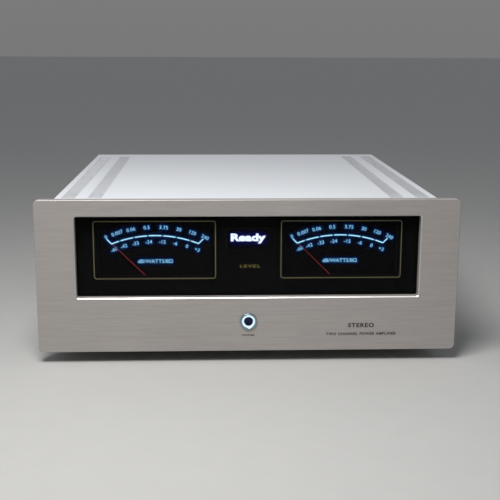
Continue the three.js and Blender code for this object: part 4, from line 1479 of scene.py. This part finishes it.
def protection_board():
    """Board on pillars with two relays and a row of small parts."""
    underside = 0.034
    board = rounded(-0.088, 0.088, FACE + 0.378, FACE + 0.414, 0.002)
    bm = bmesh.new()
    plate(bm, board, [], underside, underside + BOARD, CIRCUIT_EDGE, place=level)
    piece("protection_board_plate", bm, "board", stands_for=["protection_board"])
    bm = bmesh.new()
    for x in (-50, 18):
        box_on(bm, x, x + 32, 384, 406, 36.4, 56, 0.0012)
        box_on(bm, x - 0.4, x + 32.4, 383.6, 406.4, 35.4, 37.4, 0.0004)
    piece("protection_relays", bm, "gloss_black")
    bm = bmesh.new()
    for side, end in CORNERS:
        place = (side * 0.080, FACE + 0.396 + end * 0.012, Span("capacitor_board").low.z)
        upright_stack(bm, [(0, 0), (4, 0), (4, 12.7), (0, 12.7)], place, 24)
    piece("protection_pillars", bm, "plated")
    resistor_row("protection_resistors", -68, 396, 36.8, 6, (0.0028, 0, 0))


def switch_lead():
    """Sheathed lead from the mains inlet, along the floor of the case, to the switch."""
    points = [(8, 435.6, 52), (8, 431, 52), (20, 424, 46), (60, 424, 32), (104, 420, 25.5), (128, 402, 25.5),
              (134, 372, 25.5), (134, 270, 25.5), (134, 150, 25.5), (126, 84, 25.5), (100, 56, 26.5),
              (60, 45, 31), (24, 43, 38), (4, 40, 42), (0, 36.5, 43.6), (0, 32.6, 43.6)]
    route = [(x * MM, FACE + y * MM, z * MM) for x, y, z in points]
    bm = bmesh.new()
    tube(bm, smooth_route(route), 0.003, 16)
    piece("switch_lead_sheath", bm, "rubber", stands_for=["switch_lead"], angle=50)


def meter_inside(name):
    """Dial plate and the magnet behind it."""
    pivot = Vector(JOINTS[f"{name}_needle_swing"]["pos_m"])
    staff_hole = disc(pivot.x, pivot.z, 0.002, 24)
    dial = f"meter_{name}_dial"
    flat_piece(f"{dial}_plate", dial, "dial", 0.001, 3, 0.0001, [staff_hole])
    box = Span(f"meter_{name}_movement")
    near, far = box.low.y, box.high.y
    magnet = [(0.0016, near), (0.0097, near), (0.0103, near + 0.0006), (0.0103, near + 0.0035),
              (0.0098, near + 0.0040), (0.0103, near + 0.0045), (0.0103, far - 0.0006), (0.0097, far),
              (0.0016, far)]
    bm = bmesh.new()
    turned(bm, magnet, (pivot.x, 0, pivot.z), 56, closed=True)
    piece(f"meter_{name}_magnet", bm, "plated", stands_for=[f"meter_{name}_movement"])


def meter_bracket():
    """Steel plate that carries the meters and the display, with a rounded hole for each."""
    clear, side, top = 0.0005, 0.002, 0.0015
    holes = [Span(f"meter_{name}_case").face(0.001, 3, clear - side, clear - top) for name, _ in SIDES]
    holes.append(Span("display_screen").face(0.001, 3, clear))
    flat_piece("meter_bracket_plate", "meter_bracket", "dark_frame", 0.002, 6, 0.0002, holes)


def display_board():
    """Board behind the screen, with a hole in each corner and a connector."""
    box = Span("display_board")
    heights = (box.low.z + 0.0025, box.high.z - 0.0025)
    holes = [disc(x, z, 0.0011, 20) for x in (-0.0245, 0.0245) for z in heights]
    bm = bmesh.new()
    plate(bm, box.face(0.0015, 4), holes, box.low.y, box.low.y + BOARD, CIRCUIT_EDGE)
    piece("display_circuit", bm, "board", stands_for=["display_board"])
    z = Span("display_screen").low.z
    bm = bmesh.new()
    block(bm, (-0.008, box.low.y + 0.0015, z - 0.004), (0.008, box.high.y, z + 0.004), 0.0004)
    piece("display_connector", bm, "white_plastic")


def button_nut():
    """Six-sided nut that holds the switch in the panel."""
    box = Span("button_nut")
    nut = shaped(ringed(BUTTON.x, BUTTON.z, 6, box.size.x / 2))
    bm = bmesh.new()
    plate(bm, nut, [disc(BUTTON.x, BUTTON.z, 0.0082)], box.low.y, box.high.y, 0.0005)
    piece("button_lock_nut", bm, "plated", stands_for=["button_nut"])


# ---------------------------------------------------------------- floor, light and camera


def floor():
    half = 30.0
    corners = [(x * half, y * half, 0) for x, y in ((-1, -1), (1, -1), (1, 1), (-1, 1))]
    mesh = bpy.data.meshes.new("floor")
    mesh.from_pydata(corners, [], [(0, 1, 2, 3)])
    material, tree, shader = look("pale_floor", (0.43, 0.43, 0.42), 0.7)
    speckle = noise(tree, object_place(tree), 40.0, 4.0)
    tree.links.new(tint(tree, speckle, (0.42, 0.42, 0.41), (0.45, 0.45, 0.44)), shader.inputs["Base Color"])
    mesh.materials.append(material)
    linked("floor", mesh)


def area_light(name, place, target, size, power, color):
    """A soft rectangular light at a place, aimed at a target."""
    data = bpy.data.lights.new(name, "AREA")
    data.shape = "RECTANGLE"
    data.size, data.size_y = size
    data.energy = power
    data.color = color
    made = linked(name, data)
    made.location = place
    made.rotation_euler = (Vector(target) - Vector(place)).to_track_quat("-Z", "Y").to_euler()


def lighting():
    """A soft box above and before the front, and a pale room that is lighter overhead."""
    level_tone, overhead_tone = (0.19, 0.19, 0.19), (0.34, 0.35, 0.37)
    world = bpy.data.worlds.new("studio")
    world.use_nodes = True
    tree = world.node_tree
    background = tree.nodes["Background"]
    direction = node(tree, "ShaderNodeTexCoord").outputs["Generated"]
    upward = node(tree, "ShaderNodeSeparateXYZ", {0: direction}).outputs["Z"]
    tree.links.new(tint(tree, upward, level_tone, overhead_tone), background.inputs["Color"])
    background.inputs["Strength"].default_value = 1.0
    bpy.context.scene.world = world
    place, target = (-0.19, FACE - 0.38, 0.82), (-0.02, FACE + 0.03, 0.15)
    area_light("key", place, target, (0.45, 0.35), 9.6, (1.0, 0.985, 0.965))


def camera():
    """Before the front and a little above it, as a person standing close sees it."""
    place, lens = (-0.0397, FACE - 0.9399, FOOTING + 0.3074), 68.42
    yaw, pitch, roll = math.radians(2.493), math.radians(-12.047), math.radians(0.245)
    data = bpy.data.cameras.new("camera")
    data.sensor_width = 36.0
    data.lens = lens
    forward = Vector((math.sin(yaw) * math.cos(pitch), math.cos(yaw) * math.cos(pitch), math.sin(pitch)))
    right = Vector((math.cos(yaw), -math.sin(yaw), 0))
    up = right.cross(forward)
    tilted_right = right * math.cos(roll) + up * math.sin(roll)
    tilted_up = up * math.cos(roll) - right * math.sin(roll)
    turn = Matrix((tilted_right, tilted_up, -forward)).transposed().to_4x4()
    made = linked("camera", data)
    made.matrix_world = Matrix.Translation(place) @ turn
    bpy.context.scene.camera = made
    bpy.context.scene.view_settings.view_transform = "Standard"


# ---------------------------------------------------------------- assembly

camera()
floor()
lighting()
front_panel()
flat_piece("window_pane", "window_glass", "glass", 0.001, 3, 0.0002)
panel_lettering()
power_button()
for side_name, _ in SIDES:
    meter(side_name)
display()
display_board()
meter_bracket()
button_nut()
front_subframe()
# The top cover's slot walls carry painted shade.
vented_sheet("top_cover_sheet", "top_cover", "anodised", VENT_ROWS, VENT, "slot_painted_shade")
vented_sheet("bottom_sheet", "bottom_plate", "plated", FLOOR_VENT_ROWS, FLOOR_VENT)
under_screws()
for side_name, side_sign in SIDES:
    heat_sink(side_name, side_sign)
for corner in ("front_left", "front_right", "rear_left", "rear_right"):
    foot(f"foot_{corner}")
rear_panel()
rear_screws()
for side_name, collar in (("left", "white_plastic"), ("right", "red_plastic")):
    phono_socket(side_name, collar)
    balanced_socket(side_name)
    loudspeaker_terminal(f"{side_name}_minus", "gloss_black")
    loudspeaker_terminal(f"{side_name}_plus", "red_plastic")
mains_inlet()
fuse_drawer()
rear_lettering()
transformer()
reservoir()
for side_name, side_sign in SIDES:
    amplifier_board(side_name, side_sign)
    rectifier(side_name)
protection_board()
switch_lead()
